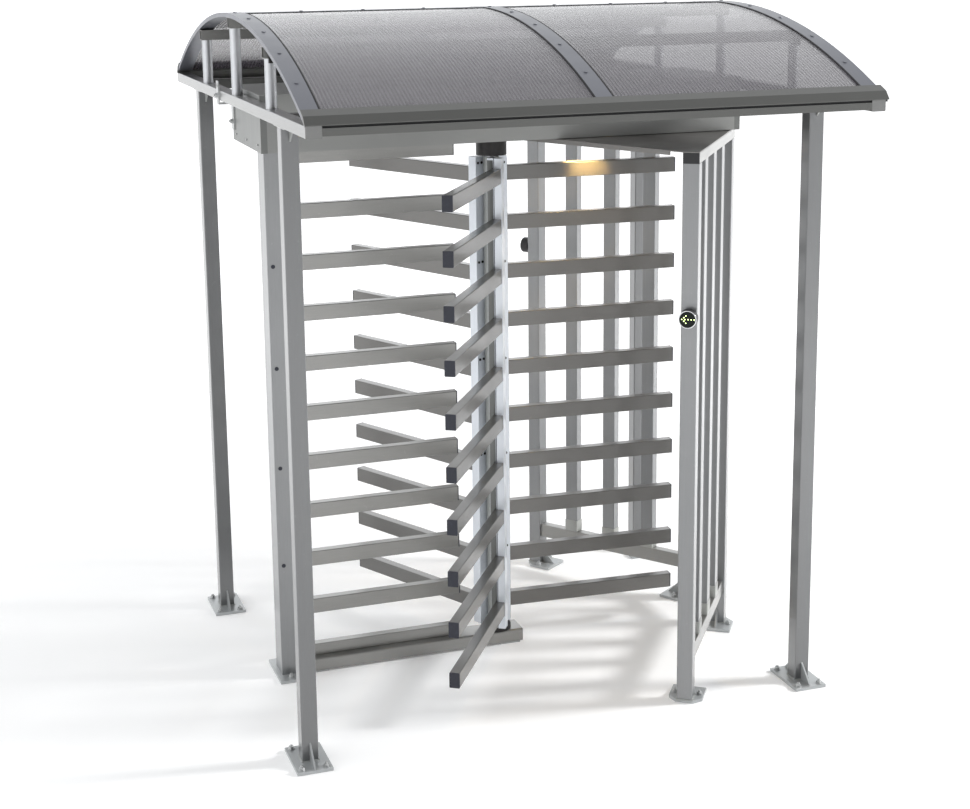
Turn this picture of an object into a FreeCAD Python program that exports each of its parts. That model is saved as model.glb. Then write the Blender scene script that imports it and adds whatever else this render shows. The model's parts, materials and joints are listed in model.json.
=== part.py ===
import FreeCAD, Part
import math
import os

# Full-height visitor counter turnstile with a curved weather canopy.
# Millimetres, +Z up. The origin is where the rotor's axis meets the floor, +X runs along the
# barrier from the comb to the fence, and -Y is the side that people enter from.

V = FreeCAD.Vector
UP = V(0, 0, 1)

# ---- bars, shared by the rotor, the comb and the fence -----------------------------------
BAR_HIGH = 60.0
BAR_THICK = 40.0
BAR_WALL = 2.0
BAR_RADIUS = 3.0
BAR_PITCH = 200.0
BAR_COUNT = 10
CAP_THICK = 4.0
CAP_PLUG = 12.0
PLUG_CLEARANCE = 0.3

# ---- rotor -------------------------------------------------------------------------------
WINGS = 3
PARKED_ANGLE = -3.4
WING_REACH = 788.0
WING_OFFSET = 36.0
TOP_ROTOR_BAR = 2000.0
STILE_NEAR = 30.0
STILE_DEEP = 40.0
STILE_LOW_EDGE = -2.0
STILE_WIDE = 60.0
GROOVE_FROM = 24.0
GROOVE_WIDE = 5.0
GROOVE_DEEP = 18.0
STEP_DEEP = 6.0
CORE_RADIUS = 33.0
CORE_BORE = 18.0
ROTOR_LOW = 84.0
ROTOR_HIGH = 2040.0
WING_BOLT_RADIUS = 5.0
WING_BOLT_SPACING = 20.0
WING_BOLT_HEAD = 3.0
WING_BOLT_TOP = 2015.0
WING_BOLT_ROWS = 5

# ---- comb (the fixed barrier) ------------------------------------------------------------
BEAM_WIDE = 110.0
BEAM_HIGH = 60.0
BEAM_RADIUS = 8.0
BEAM_WALL = 4.0
BEAM_END = 100.0
PLATE_THICK = 12.0
COMB_LEFT = -925.0
COMB_POST_WIDE = 60.0
COMB_END = -162.0
SILL_HIGH = 48.0
TOP_RAIL_UNDER = 2055.0
COMB_FOOT_WIDE = 96.0
COMB_FOOT_DEEP = 230.0
BEAM_PAD_LONG = 90.0
BEAM_PAD_DEEP = 100.0
BEAM_PAD_THICK = 6.0
BEAM_PAD_END = 55.0
PLUG_RADIUS = 8.0
PLUG_PROUD = 1.5
PLUG_OFFSET = 8.0

# ---- mechanism housing -------------------------------------------------------------------
HOUSING_UNDER = 2128.0
HOUSING_TOP = 2340.0
HOUSING_LEFT = -974.0
HOUSING_OVERHANG = 5.0
HOUSING_HALF = 258.0
SHEET = 3.0
END_DEEP = 24.0
LID_FLANGE = 20.0
FLOOR_HOLE = 40.0
SCREW_RADIUS = 4.0
SCREW_HEAD = 3.0
SCREW_INSET = 60.0
SCREW_LOW_ROW = 25.0
SCREW_UNDER_TIE = 20.0
PAD_HALF = 25.0
PAD_INSET = 85.0
COMB_PADS = 3

# ---- bearings, shaft and mechanism -------------------------------------------------------
SHAFT_RADIUS = 25.0
SHAFT_TOP = 2300.0
BEARING_RADIUS = 61.0
BEARING_UNDER = 2048.0
PIVOT_RADIUS = 15.0
PIVOT_TOP = 130.0
SOCKET_RADIUS = 62.0
SOCKET_TOP = 78.0
RUNNING = 0.05
GEAR_MODULE = 5.0
GEAR_TEETH = 45
PINION_TEETH = 18
GEAR_LOW = 2150.0
GEAR_THICK = 12.0
PRESSURE_ANGLE = 20.0
BACKLASH = 0.5
SPINDLE_RADIUS = 8.0
DAMPER_RADIUS = 46.0
DAMPER_HIGH = 15.0
WHEEL_RADIUS = 80.0
WHEEL_NOTCHES = 12
NOTCH_WIDE = 20.0
NOTCH_DEEP = 14.0
WHEEL_LOW = 2185.0
WHEEL_THICK = 12.0
PAWL_GAP = 1.5
PAWL_TOOTH_LONG = 12.5
PAWL_TOOTH_WIDE = 8.0
PAWL_WIDE = 16.0
PAWL_ARM = 70.0
PAWL_TAIL = 42.0
PAWL_INSET = 1.0
PAWL_PIN_RADIUS = 5.0
PLUNGER_RADIUS = 6.0
PLUNGER_ABOVE = 30.0
PLUNGER_GAP = 0.6
PLUNGER_LONG = 90.0
SOLENOID_FROM = 34.0
SOLENOID_LONG = 60.0
SOLENOID_HALF = 20.0
SOLENOID_FOOT = 4.0
BOARD_LONG = 220.0
BOARD_WIDE = 140.0
BOARD_THICK = 2.0
BOARD_X = -520.0
STANDOFF_HIGH = 20.0
SUPPLY_LONG = 200.0
SUPPLY_WIDE = 110.0
SUPPLY_HIGH = 50.0
SUPPLY_X = 480.0
KEY_X = -400.0
KEY_Z = 2230.0
KEY_RADIUS = 14.0
BARREL_RADIUS = 9.0

# ---- fence -------------------------------------------------------------------------------
FENCE_NEAR_X = 493.0
FENCE_NEAR_Y = 795.0
FENCE_FAR_X = 955.0
FENCE_FAR_Y = 155.0
FENCE_POST = 60.0
FENCE_WALL = 3.0
FENCE_BARS = 3
FENCE_RAIL_UNDER = 140.0
FENCE_RAIL_TALL = 60.0
TOP_RAIL_HIGH = 40.0
CEILING_TOP = 2125.0
CEILING_INNER_X = 80.0
CEILING_INNER_Y = 55.0
CEILING_FLANGE = 17.0
FENCE_PLATE = 130.0
FENCE_PLATE_LONG = 130.0
FENCE_PLATE_CHAMFER = 30.0
FENCE_HOLE_RADIUS = 6.0
FENCE_HOLE_SIDE = 48.0
GUSSET_THICK = 6.0
GUSSET_LEG = 60.0
LAMP_X = 405.0
LAMP_Y = 200.0
LAMP_RADIUS = 42.0
LAMP_HIGH = 16.0
DISPLAY_Z = 1515.0
DISPLAY_RADIUS = 34.0
DISPLAY_DEEP = 36.0
LENS_RADIUS = 30.0
LENS_THICK = 3.0

# ---- canopy ------------------------------------------------------------------------------
POST_SETBACK = 10.0
CANOPY_HALF_Y = 810.0
CANOPY_POST = 60.0
POST_WALL = 3.0
POST_RADIUS = 4.0
FOOT_X = 130.0
FOOT_Y = 210.0
FOOT_HOLE_X = 90.0
FOOT_HOLE_Y = 170.0
FOOT_HOLE_RADIUS = 7.0
FOOT_RIB = 70.0
HEAD_PLATE = 6.0
HEAD_LONG = 160.0
HEAD_RIB = 45.0
TIE_UNDER = 2283.0
TIE_HIGH = 40.0
TIE_WIDE = 54.0
TIE_OVERHANG = 25.0
GABLE_BEYOND_FENCE = 75.0
ROOF_HALF_Y = 1180.0
ROOF_TOP = 2625.0
ROOF_RADIUS = 2650.0
ROOF_SHEET = 10.0
RIB_THICK = 3.0
RIB_WIDE = 60.0
PURLIN = 40.0
PURLIN_Y = 600.0
STRUT_RADIUS = 20.0
STRUT_WALL = 2.5
EAVE_OVERHANG = 12.0
GUTTER_SHEET = 5.0
GUTTER_LIP_IN = 32.0
GUTTER_LIP_UP = 22.0
GUTTER_BEND = 6.0
GUTTER_NOSE = 28.0
GUTTER_NOSE_DROP = 25.0
GUTTER_GROOVE_DEEP = 10.0
GUTTER_GROOVE_HIGH = 8.0
GUTTER_FACE = 26.0
GUTTER_DROP = 58.0
GUTTER_RETURN = 20.0
GUTTER_EDGE = 3.0
GUTTER_LEFT = 2.0
RIDGE_WIDE = 60.0
ROOF_SCREW_RADIUS = 7.0
ROOF_SCREW_HIGH = 3.0
ROOF_SCREW_PITCH = 250.0
CLAMP_THICK = 12.0
CLAMP_HIGH = 52.0
STRAP_WIDE = 40.0
STRAP_THICK = 5.0
STRAP_START = 40.0
STRAP_BEND = 10.0
STRAP_LUG = 35.0
STRAP_HOLE_RADIUS = 9.0
STRAP_HOLE_UP = 18.0
RIDGE_SCREW_FIRST = 270.0
RIDGE_SCREW_STEP = 240.0
RIDGE_SCREWS = 3
RIB_SCREWS = 4

# ---- sizes that follow from those above --------------------------------------------------
STILE_FAR = STILE_NEAR + STILE_DEEP
COMB_TOP_BAR = TOP_ROTOR_BAR - BAR_PITCH / 2
HOUSING_RIGHT = FENCE_FAR_X + HOUSING_OVERHANG
ROOF_HALF_X = FENCE_FAR_X + GABLE_BEYOND_FENCE
CANOPY_HALF_X = ROOF_HALF_X - POST_SETBACK
TIE_HALF = ROOF_HALF_Y + TIE_OVERHANG
RAIL_TOP = CEILING_TOP - SHEET
FENCE_POST_TOP = RAIL_TOP - TOP_RAIL_HIGH
TRAY_LEFT = HOUSING_LEFT + END_DEEP
TRAY_RIGHT = HOUSING_RIGHT - END_DEEP
COMB_POST_RIGHT = COMB_LEFT + COMB_POST_WIDE
BAR_RISE = BAR_HIGH / 2
PINION_Y = -GEAR_MODULE * (GEAR_TEETH + PINION_TEETH) / 2
PAWL_LOW = WHEEL_LOW + PAWL_INSET
PAWL_THICK = WHEEL_THICK - 2 * PAWL_INSET
PAWL_X = WHEEL_RADIUS + PAWL_GAP + PAWL_TOOTH_LONG + PAWL_WIDE / 2
PLUNGER_Z = PAWL_LOW + PAWL_THICK / 2
PANEL_ANGLE = math.degrees(math.atan2(FENCE_NEAR_Y - FENCE_FAR_Y, FENCE_FAR_X - FENCE_NEAR_X))
PANEL_LONG = math.hypot(FENCE_FAR_X - FENCE_NEAR_X, FENCE_NEAR_Y - FENCE_FAR_Y)
TIE_TOP = TIE_UNDER + TIE_HIGH
ROOF_CENTRE_Z = ROOF_TOP - ROOF_RADIUS
SHEET_OUTER = ROOF_RADIUS - RIB_THICK
SHEET_INNER = SHEET_OUTER - ROOF_SHEET
TRIM_INNER = SHEET_INNER - RIB_THICK


# ---- helpers -----------------------------------------------------------------------------
def save(name, *solids):
    """Write one node: a single solid, or a group of separate ones."""
    shape = solids[0] if len(solids) == 1 else Part.makeCompound(list(solids))
    shape.exportStep("parts/" + name + ".step")


def block(x0, x1, y0, y1, z0, z1):
    return Part.makeBox(x1 - x0, y1 - y0, z1 - z0, V(x0, y0, z0))


def rod(radius, start, direction, length):
    return Part.makeCylinder(radius, length, start, direction)


def ring(outer, inner, z0, z1, x=0.0, y=0.0):
    solid = rod(outer, V(x, y, z0), UP, z1 - z0)
    return solid.cut(rod(inner, V(x, y, z0), UP, z1 - z0))


def prism(points, z0, z1):
    """Straight-sided solid over a plan outline."""
    corners = [V(x, y, z0) for x, y in points]
    outline = Part.makePolygon(corners + corners[:1])
    return Part.Face(outline).extrude(V(0, 0, z1 - z0))


def side_prism(points, x0, x1):
    """Straight-sided solid over an outline of (y, z) points."""
    corners = [V(x0, y, z) for y, z in points]
    outline = Part.makePolygon(corners + corners[:1])
    return Part.Face(outline).extrude(V(x1 - x0, 0, 0))


def turned(shape, degrees, centre=V(0, 0, 0), axis=UP):
    copy = shape.copy()
    copy.rotate(centre, axis, degrees)
    return copy


def moved(shape, x, y, z):
    copy = shape.copy()
    copy.translate(V(x, y, z))
    return copy


def mirrored(shape):
    """The matching piece on the far side of the barrier's own plane."""
    return shape.mirror(V(0, 0, 0), V(0, 1, 0))


def rounded_section(wide, high, radius):
    """A rounded rectangle about the origin, in the XY plane."""
    a = wide / 2
    b = high / 2
    r = radius
    k = r * (1 - math.sqrt(0.5))
    edges = [Part.LineSegment(V(-a + r, -b, 0), V(a - r, -b, 0)),
             Part.Arc(V(a - r, -b, 0), V(a - k, -b + k, 0), V(a, -b + r, 0)),
             Part.LineSegment(V(a, -b + r, 0), V(a, b - r, 0)),
             Part.Arc(V(a, b - r, 0), V(a - k, b - k, 0), V(a - r, b, 0)),
             Part.LineSegment(V(a - r, b, 0), V(-a + r, b, 0)),
             Part.Arc(V(-a + r, b, 0), V(-a + k, b - k, 0), V(-a, b - r, 0)),
             Part.LineSegment(V(-a, b - r, 0), V(-a, -b + r, 0)),
             Part.Arc(V(-a, -b + r, 0), V(-a + k, -b + k, 0), V(-a + r, -b, 0))]
    return Part.Face(Part.Wire([edge.toShape() for edge in edges]))


def solid_bar(start, direction, length, wide, high, radius, across=None):
    """A rounded bar from a point along a direction: wide across it, high upwards."""
    along = V(direction).normalize()
    side = V(across) if across else along.cross(UP)
    side.normalize()
    spin = FreeCAD.Rotation(side, along.cross(side), along, "ZXY")
    shape = rounded_section(wide, high, radius).extrude(V(0, 0, length))
    shape.Placement = FreeCAD.Placement(start, spin)
    return shape


def tube(start, direction, length, wide, high, wall, radius, across=None):
    """A hollow rectangular tube with rounded edges."""
    inner_radius = max(radius - wall, 0.5)
    outer = solid_bar(start, direction, length, wide, high, radius, across)
    inner = solid_bar(start, direction, length, wide - 2 * wall, high - 2 * wall, inner_radius, across)
    return outer.cut(inner)


def bar(start, direction, length, high=BAR_HIGH):
    return tube(start, direction, length, BAR_THICK, high, BAR_WALL, BAR_RADIUS)


def post(x, y, z0, z1, wide, deep, wall, radius, degrees=0.0):
    """An upright tube, wide along X and deep along Y before it is turned."""
    upright = tube(V(0, 0, z0), UP, z1 - z0, wide, deep, wall, radius, V(1, 0, 0))
    return moved(turned(upright, degrees), x, y, 0)


def end_cap(start, direction, high=BAR_HIGH, wide=BAR_THICK, wall=BAR_WALL):
    """A push-in plastic cap: a plate over the tube's end and a plug inside it."""
    along = V(direction).normalize()
    plate = solid_bar(start, along, CAP_THICK, wide, high, BAR_RADIUS)
    shrink = 2 * (wall + PLUG_CLEARANCE)
    inside = start - along * CAP_PLUG
    plug = solid_bar(inside, along, CAP_PLUG, wide - shrink, high - shrink, BAR_RADIUS)
    return plate.fuse(plug).removeSplitter()


def arc_z(y, radius):
    return ROOF_CENTRE_Z + math.sqrt(radius ** 2 - y ** 2)


def arc_band(outer, inner, half_y, x0, x1):
    """A curved strip of the roof between two radii, cut square to the curve at its ends."""
    half_angle = math.asin(half_y / ROOF_RADIUS)

    def at(radius, angle):
        return V(x0, radius * math.sin(angle), ROOF_CENTRE_Z + radius * math.cos(angle))
    edges = [Part.Arc(at(outer, -half_angle), at(outer, 0), at(outer, half_angle)),
             Part.LineSegment(at(outer, half_angle), at(inner, half_angle)),
             Part.Arc(at(inner, half_angle), at(inner, 0), at(inner, -half_angle)),
             Part.LineSegment(at(inner, -half_angle), at(outer, -half_angle))]
    face = Part.Face(Part.Wire([edge.toShape() for edge in edges]))
    return face.extrude(V(x1 - x0, 0, 0))


# ---- gears -------------------------------------------------------------------------------
def gear(teeth, thick, z0, first_tooth):
    """An involute spur gear about the Z axis, with one tooth centred on first_tooth degrees."""
    pitch = GEAR_MODULE * teeth / 2
    base = pitch * math.cos(math.radians(PRESSURE_ANGLE))
    tip = pitch + GEAR_MODULE
    root = pitch - 1.25 * GEAR_MODULE

    def roll(radius):
        lean = math.acos(min(1.0, base / radius))
        return math.tan(lean) - lean
    half_tooth = (math.pi * GEAR_MODULE / 2 - BACKLASH) / 2 / pitch + roll(pitch)
    start = max(base, root)
    flank = [root] if root < base else []
    flank += [start + (tip - start) * step / 4 for step in range(5)]
    outline = []
    for tooth in range(teeth):
        middle = math.radians(first_tooth) + 2 * math.pi * tooth / teeth
        for radius in flank:
            angle = middle - half_tooth + roll(radius)
            outline.append((radius * math.cos(angle), radius * math.sin(angle)))
        for radius in reversed(flank):
            angle = middle + half_tooth - roll(radius)
            outline.append((radius * math.cos(angle), radius * math.sin(angle)))
    return prism(outline, z0, z0 + thick)


# ---- comb --------------------------------------------------------------------------------
def comb_bar_tops():
    return [COMB_TOP_BAR - BAR_PITCH * row for row in range(BAR_COUNT - 1)]


def make_comb():
    beam = tube(V(COMB_POST_RIGHT, 0, BEAM_PAD_THICK + (BEAM_HIGH - BEAM_PAD_THICK) / 2), V(1, 0, 0),
                BEAM_END - COMB_POST_RIGHT, BEAM_WIDE, BEAM_HIGH - BEAM_PAD_THICK, BEAM_WALL, BEAM_RADIUS)
    save("bottom_beam", beam)

    middle = (COMB_LEFT + COMB_POST_RIGHT) / 2
    save("comb_post", post(middle, 0, PLATE_THICK, HOUSING_UNDER, COMB_POST_WIDE, BEAM_WIDE,
                           BEAM_WALL, POST_RADIUS))

    foot = block(middle - COMB_FOOT_WIDE / 2, COMB_POST_RIGHT, -COMB_FOOT_DEEP / 2,
                 COMB_FOOT_DEEP / 2, 0, PLATE_THICK)
    for side in (-1, 1):
        foot = foot.cut(rod(FENCE_HOLE_RADIUS, V(middle, side * comb_hole_y(), 0), UP, PLATE_THICK))
    pads = []
    for x in (COMB_POST_RIGHT + BEAM_PAD_LONG, BEAM_END - BEAM_PAD_END):
        pads.append(block(x - BEAM_PAD_LONG / 2, x + BEAM_PAD_LONG / 2, -BEAM_PAD_DEEP / 2,
                          BEAM_PAD_DEEP / 2, 0, BEAM_PAD_THICK))
    save("comb_feet", foot, *pads)

    long = COMB_END - CAP_THICK - COMB_POST_RIGHT
    bars = [bar(V(COMB_POST_RIGHT, 0, top - BAR_RISE), V(1, 0, 0), long) for top in comb_bar_tops()]
    rail_middle = TOP_RAIL_UNDER + BAR_RISE
    bars.append(bar(V(COMB_POST_RIGHT, 0, rail_middle), V(1, 0, 0), long))
    sill_middle = BEAM_HIGH + SILL_HIGH / 2
    bars.append(bar(V(COMB_POST_RIGHT, 0, sill_middle), V(1, 0, 0), long, SILL_HIGH))
    save("comb_bars", *bars)

    end = COMB_END - CAP_THICK
    caps = [end_cap(V(end, 0, top - BAR_RISE), V(1, 0, 0)) for top in comb_bar_tops()]
    caps.append(end_cap(V(end, 0, rail_middle), V(1, 0, 0)))
    caps.append(end_cap(V(end, 0, sill_middle), V(1, 0, 0), SILL_HIGH))
    for row in range(1, BAR_COUNT - 1, 2):
        z = comb_bar_tops()[row] - BAR_RISE
        start = V(middle - PLUG_OFFSET, -BEAM_WIDE / 2 - PLUG_PROUD, z)
        caps.append(rod(PLUG_RADIUS, start, V(0, 1, 0), PLUG_PROUD))
    save("comb_caps", *caps)


def comb_hole_y():
    return (BEAM_WIDE + COMB_FOOT_DEEP) / 4


# ---- mechanism housing -------------------------------------------------------------------
def make_housing():
    half = HOUSING_HALF
    wall_top = HOUSING_TOP - SHEET
    outer = block(TRAY_LEFT, TRAY_RIGHT, -half, half, HOUSING_UNDER, wall_top)
    inner = block(TRAY_LEFT, TRAY_RIGHT, -half + SHEET, half - SHEET, HOUSING_UNDER + SHEET, wall_top)
    tray = outer.cut(inner)
    tray = tray.cut(rod(FLOOR_HOLE, V(0, 0, HOUSING_UNDER), UP, SHEET))
    tray = tray.cut(rod(KEY_RADIUS, V(KEY_X, half - SHEET, KEY_Z), V(0, 1, 0), SHEET))
    save("housing_tray", tray)

    lid = block(HOUSING_LEFT, HOUSING_RIGHT, -half, half, wall_top, HOUSING_TOP)
    inset = SHEET + 0.5
    for side in (-1, 1):
        near = side * (half - inset)
        far = side * (half - inset - SHEET)
        lid = lid.fuse(block(TRAY_LEFT + SHEET, TRAY_RIGHT - SHEET, min(near, far), max(near, far),
                             wall_top - LID_FLANGE, wall_top))
    save("housing_lid", lid.removeSplitter())

    ends = []
    for outside, side in ((HOUSING_LEFT, 1), (HOUSING_RIGHT, -1)):
        x0 = min(outside, outside + side * END_DEEP)
        pan = block(x0, x0 + END_DEEP, -half, half, HOUSING_UNDER, wall_top)
        open_from = x0 + SHEET if side > 0 else x0
        pan = pan.cut(block(open_from, open_from + END_DEEP - SHEET, -half + SHEET, half - SHEET,
                            HOUSING_UNDER + SHEET, wall_top - SHEET))
        ends.append(pan)
    save("housing_ends", *ends)

    heads = []
    for row_z in (HOUSING_UNDER + SCREW_LOW_ROW, TIE_UNDER - SCREW_UNDER_TIE):
        for y in (SCREW_INSET - half, 0, half - SCREW_INSET):
            heads.append(rod(SCREW_RADIUS, V(HOUSING_LEFT - SCREW_HEAD, y, row_z), V(1, 0, 0), SCREW_HEAD))
            heads.append(rod(SCREW_RADIUS, V(HOUSING_RIGHT, y, row_z), V(1, 0, 0), SCREW_HEAD))
    save("housing_screws", *heads)

    pads = []
    rail_top = TOP_RAIL_UNDER + BAR_HIGH
    pad_step = (COMB_END - COMB_POST_RIGHT - 2 * PAD_INSET) / (COMB_PADS - 1)
    for number in range(COMB_PADS):
        x = COMB_POST_RIGHT + PAD_INSET + pad_step * number
        pads.append(block(x - PAD_HALF, x + PAD_HALF, -BAR_THICK / 2, BAR_THICK / 2, rail_top, HOUSING_UNDER))
    for y in (-FENCE_FAR_Y, 0, FENCE_FAR_Y):
        pads.append(block(FENCE_FAR_X - PAD_HALF, HOUSING_RIGHT, y - PAD_HALF, y + PAD_HALF,
                          CEILING_TOP, HOUSING_UNDER))
    save("mounting_pads", *pads)


def make_tie_strap():
    """A bent flat bar that ties the housing's end to the gable beam."""
    inner = HOUSING_LEFT - STRAP_THICK
    outer = -ROOF_HALF_X - STRAP_THICK
    y0 = HOUSING_HALF - STRAP_WIDE
    bend = TIE_UNDER - STRAP_BEND
    low = block(inner, HOUSING_LEFT, y0, HOUSING_HALF, HOUSING_UNDER + STRAP_START, bend)
    jog = block(outer, HOUSING_LEFT, y0, HOUSING_HALF, bend - STRAP_THICK, bend)
    high = block(outer, -ROOF_HALF_X, y0, HOUSING_HALF, bend - STRAP_THICK, TIE_TOP + STRAP_LUG)
    strap = low.fuse(jog).fuse(high).removeSplitter()
    hole = V(outer, y0 + STRAP_WIDE / 2, TIE_TOP + STRAP_HOLE_UP)
    strap = strap.cut(rod(STRAP_HOLE_RADIUS, hole, V(1, 0, 0), STRAP_THICK))
    save("tie_strap", strap)


# ---- rotor -------------------------------------------------------------------------------
def wing_angles():
    return [PARKED_ANGLE + 360.0 / WINGS * wing for wing in range(WINGS)]


def rotor_bar_middles():
    return [TOP_ROTOR_BAR - BAR_PITCH * row - BAR_RISE for row in range(BAR_COUNT)]


def stile():
    """One upright of the column, with a joint groove beside the face that carries the bars."""
    low = STILE_LOW_EDGE
    high = low + STILE_WIDE
    stepped = STILE_FAR - STEP_DEEP
    outline = [(STILE_NEAR, low), (stepped, low), (stepped, GROOVE_FROM),
               (STILE_FAR - GROOVE_DEEP, GROOVE_FROM), (STILE_FAR - GROOVE_DEEP, GROOVE_FROM + GROOVE_WIDE),
               (STILE_FAR, GROOVE_FROM + GROOVE_WIDE), (STILE_FAR, high), (STILE_NEAR, high)]
    return prism(outline, ROTOR_LOW, ROTOR_HIGH)


def make_rotor():
    hub = rod(CORE_RADIUS, V(0, 0, ROTOR_LOW), UP, ROTOR_HIGH - ROTOR_LOW)
    reach = CORE_RADIUS * 2
    for angle in wing_angles():
        beyond = block(STILE_NEAR, reach, -reach, reach, ROTOR_LOW, ROTOR_HIGH)
        hub = hub.cut(turned(beyond, angle))
    hub = hub.cut(rod(CORE_BORE, V(0, 0, PIVOT_TOP + 10), UP, ROTOR_HIGH - PIVOT_TOP - 40))
    hub = hub.cut(rod(PIVOT_RADIUS + RUNNING, V(0, 0, ROTOR_LOW), UP, PIVOT_TOP + 10 - ROTOR_LOW))
    save("rotor_core", hub)

    save("rotor_stiles", *[turned(stile(), angle) for angle in wing_angles()])

    caps = []
    bolts = []
    for number, angle in enumerate(wing_angles(), start=1):
        long = WING_REACH - CAP_THICK - STILE_FAR
        bars = [bar(V(STILE_FAR, WING_OFFSET, z), V(1, 0, 0), long) for z in rotor_bar_middles()]
        save("wing_bars_%d" % number, *[turned(one, angle) for one in bars])
        for z in rotor_bar_middles():
            caps.append(turned(end_cap(V(WING_REACH - CAP_THICK, WING_OFFSET, z), V(1, 0, 0)), angle))
        for z in [WING_BOLT_TOP - 2 * BAR_PITCH * row for row in range(WING_BOLT_ROWS)]:
            for side in (-1, 1):
                y = WING_OFFSET + side * WING_BOLT_SPACING / 2
                start = V(STILE_NEAR - WING_BOLT_HEAD, y, z)
                bolts.append(turned(rod(WING_BOLT_RADIUS, start, V(1, 0, 0), WING_BOLT_HEAD), angle))
    save("wing_caps", *caps)
    save("wing_bolts", *bolts)

    shaft = rod(SHAFT_RADIUS, V(0, 0, ROTOR_HIGH), UP, SHAFT_TOP - ROTOR_HIGH)
    save("rotor_shaft", shaft)


def make_bearings():
    bearing = ring(BEARING_RADIUS, SHAFT_RADIUS + RUNNING, BEARING_UNDER, HOUSING_UNDER)
    lip = ring(BEARING_RADIUS, BEARING_RADIUS - 3, HOUSING_UNDER - 12, HOUSING_UNDER - 8)
    save("top_bearing", bearing.cut(lip))

    socket = ring(SOCKET_RADIUS, PIVOT_RADIUS + 15, BEAM_HIGH, SOCKET_TOP)
    pivot = rod(PIVOT_RADIUS, V(0, 0, BEAM_HIGH), UP, PIVOT_TOP - BEAM_HIGH)
    collar = rod(PIVOT_RADIUS + 15, V(0, 0, BEAM_HIGH), UP, 8)
    save("pivot_socket", socket.fuse(collar).fuse(pivot).removeSplitter())


# ---- mechanism ---------------------------------------------------------------------------
def make_gears():
    tooth_step = 360.0 / PINION_TEETH
    wheel = gear(GEAR_TEETH, GEAR_THICK, GEAR_LOW, -90.0)
    save("rotor_gear", wheel.cut(rod(SHAFT_RADIUS, V(0, 0, GEAR_LOW), UP, GEAR_THICK)))
    pinion = gear(PINION_TEETH, GEAR_THICK, GEAR_LOW, 90.0 + tooth_step / 2)
    spindle_low = HOUSING_UNDER + SHEET + 2
    spindle = rod(SPINDLE_RADIUS, V(0, 0, spindle_low), UP, GEAR_LOW + GEAR_THICK + 4 - spindle_low)
    save("damper_pinion", moved(pinion.fuse(spindle).removeSplitter(), 0, PINION_Y, 0))

    floor = HOUSING_UNDER + SHEET
    body = rod(DAMPER_RADIUS, V(0, PINION_Y, floor), UP, DAMPER_HIGH)
    save("damper_body", body.cut(rod(SPINDLE_RADIUS + RUNNING, V(0, PINION_Y, floor), UP, DAMPER_HIGH)))


def make_index_wheel():
    wheel = ring(WHEEL_RADIUS, SHAFT_RADIUS, WHEEL_LOW, WHEEL_LOW + WHEEL_THICK)
    notch = block(WHEEL_RADIUS - NOTCH_DEEP, WHEEL_RADIUS + 5, -NOTCH_WIDE / 2, NOTCH_WIDE / 2,
                  WHEEL_LOW, WHEEL_LOW + WHEEL_THICK)
    for step in range(WHEEL_NOTCHES):
        wheel = wheel.cut(turned(notch, 360.0 / WHEEL_NOTCHES * step))
    save("index_wheel", wheel)


def pawl():
    """The pawl of the +X side: an arm on a pin, with a tooth that faces the wheel."""
    half = PAWL_WIDE / 2
    arm = block(PAWL_X - half, PAWL_X + half, -PAWL_ARM, PAWL_TAIL, PAWL_LOW, PAWL_LOW + PAWL_THICK)
    heel = rod(half, V(PAWL_X, -PAWL_ARM, PAWL_LOW), UP, PAWL_THICK)
    tooth = block(PAWL_X - half - PAWL_TOOTH_LONG, PAWL_X - half, -PAWL_TOOTH_WIDE / 2,
                  PAWL_TOOTH_WIDE / 2, PAWL_LOW, PAWL_LOW + PAWL_THICK)
    shape = arm.fuse(heel).fuse(tooth).removeSplitter()
    return shape.cut(rod(PAWL_PIN_RADIUS + RUNNING, V(PAWL_X, -PAWL_ARM, PAWL_LOW), UP, PAWL_THICK))


def plunger():
    start = V(PAWL_X + PAWL_WIDE / 2 + PLUNGER_GAP, PLUNGER_ABOVE, PLUNGER_Z)
    return rod(PLUNGER_RADIUS, start, V(1, 0, 0), PLUNGER_LONG)


def solenoid():
    x0 = PAWL_X + SOLENOID_FROM
    x1 = x0 + SOLENOID_LONG
    half = SOLENOID_HALF
    floor = HOUSING_UNDER + SHEET
    body = block(x0, x1, PLUNGER_ABOVE - half, PLUNGER_ABOVE + half, PLUNGER_Z - half, PLUNGER_Z + half)
    leg = block(x1 - SOLENOID_FOOT, x1, PLUNGER_ABOVE - half, PLUNGER_ABOVE + half, floor, PLUNGER_Z)
    toe = block(x1, x1 + 30, PLUNGER_ABOVE - half, PLUNGER_ABOVE + half, floor, floor + SOLENOID_FOOT)
    shape = body.fuse(leg).fuse(toe).removeSplitter()
    bore = rod(PLUNGER_RADIUS + RUNNING, V(x0, PLUNGER_ABOVE, PLUNGER_Z), V(1, 0, 0), SOLENOID_LONG)
    return shape.cut(bore)


def pawl_pin():
    floor = HOUSING_UNDER + SHEET
    pin = rod(PAWL_PIN_RADIUS, V(PAWL_X, -PAWL_ARM, floor), UP, PAWL_LOW + PAWL_THICK + 8 - floor)
    return pin


def make_locks():
    save("lock_pawl_a", pawl())
    save("lock_pawl_b", turned(pawl(), 180))
    save("plunger_a", plunger())
    save("plunger_b", turned(plunger(), 180))
    save("solenoids", solenoid(), turned(solenoid(), 180))
    save("pawl_pins", pawl_pin(), turned(pawl_pin(), 180))


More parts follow.
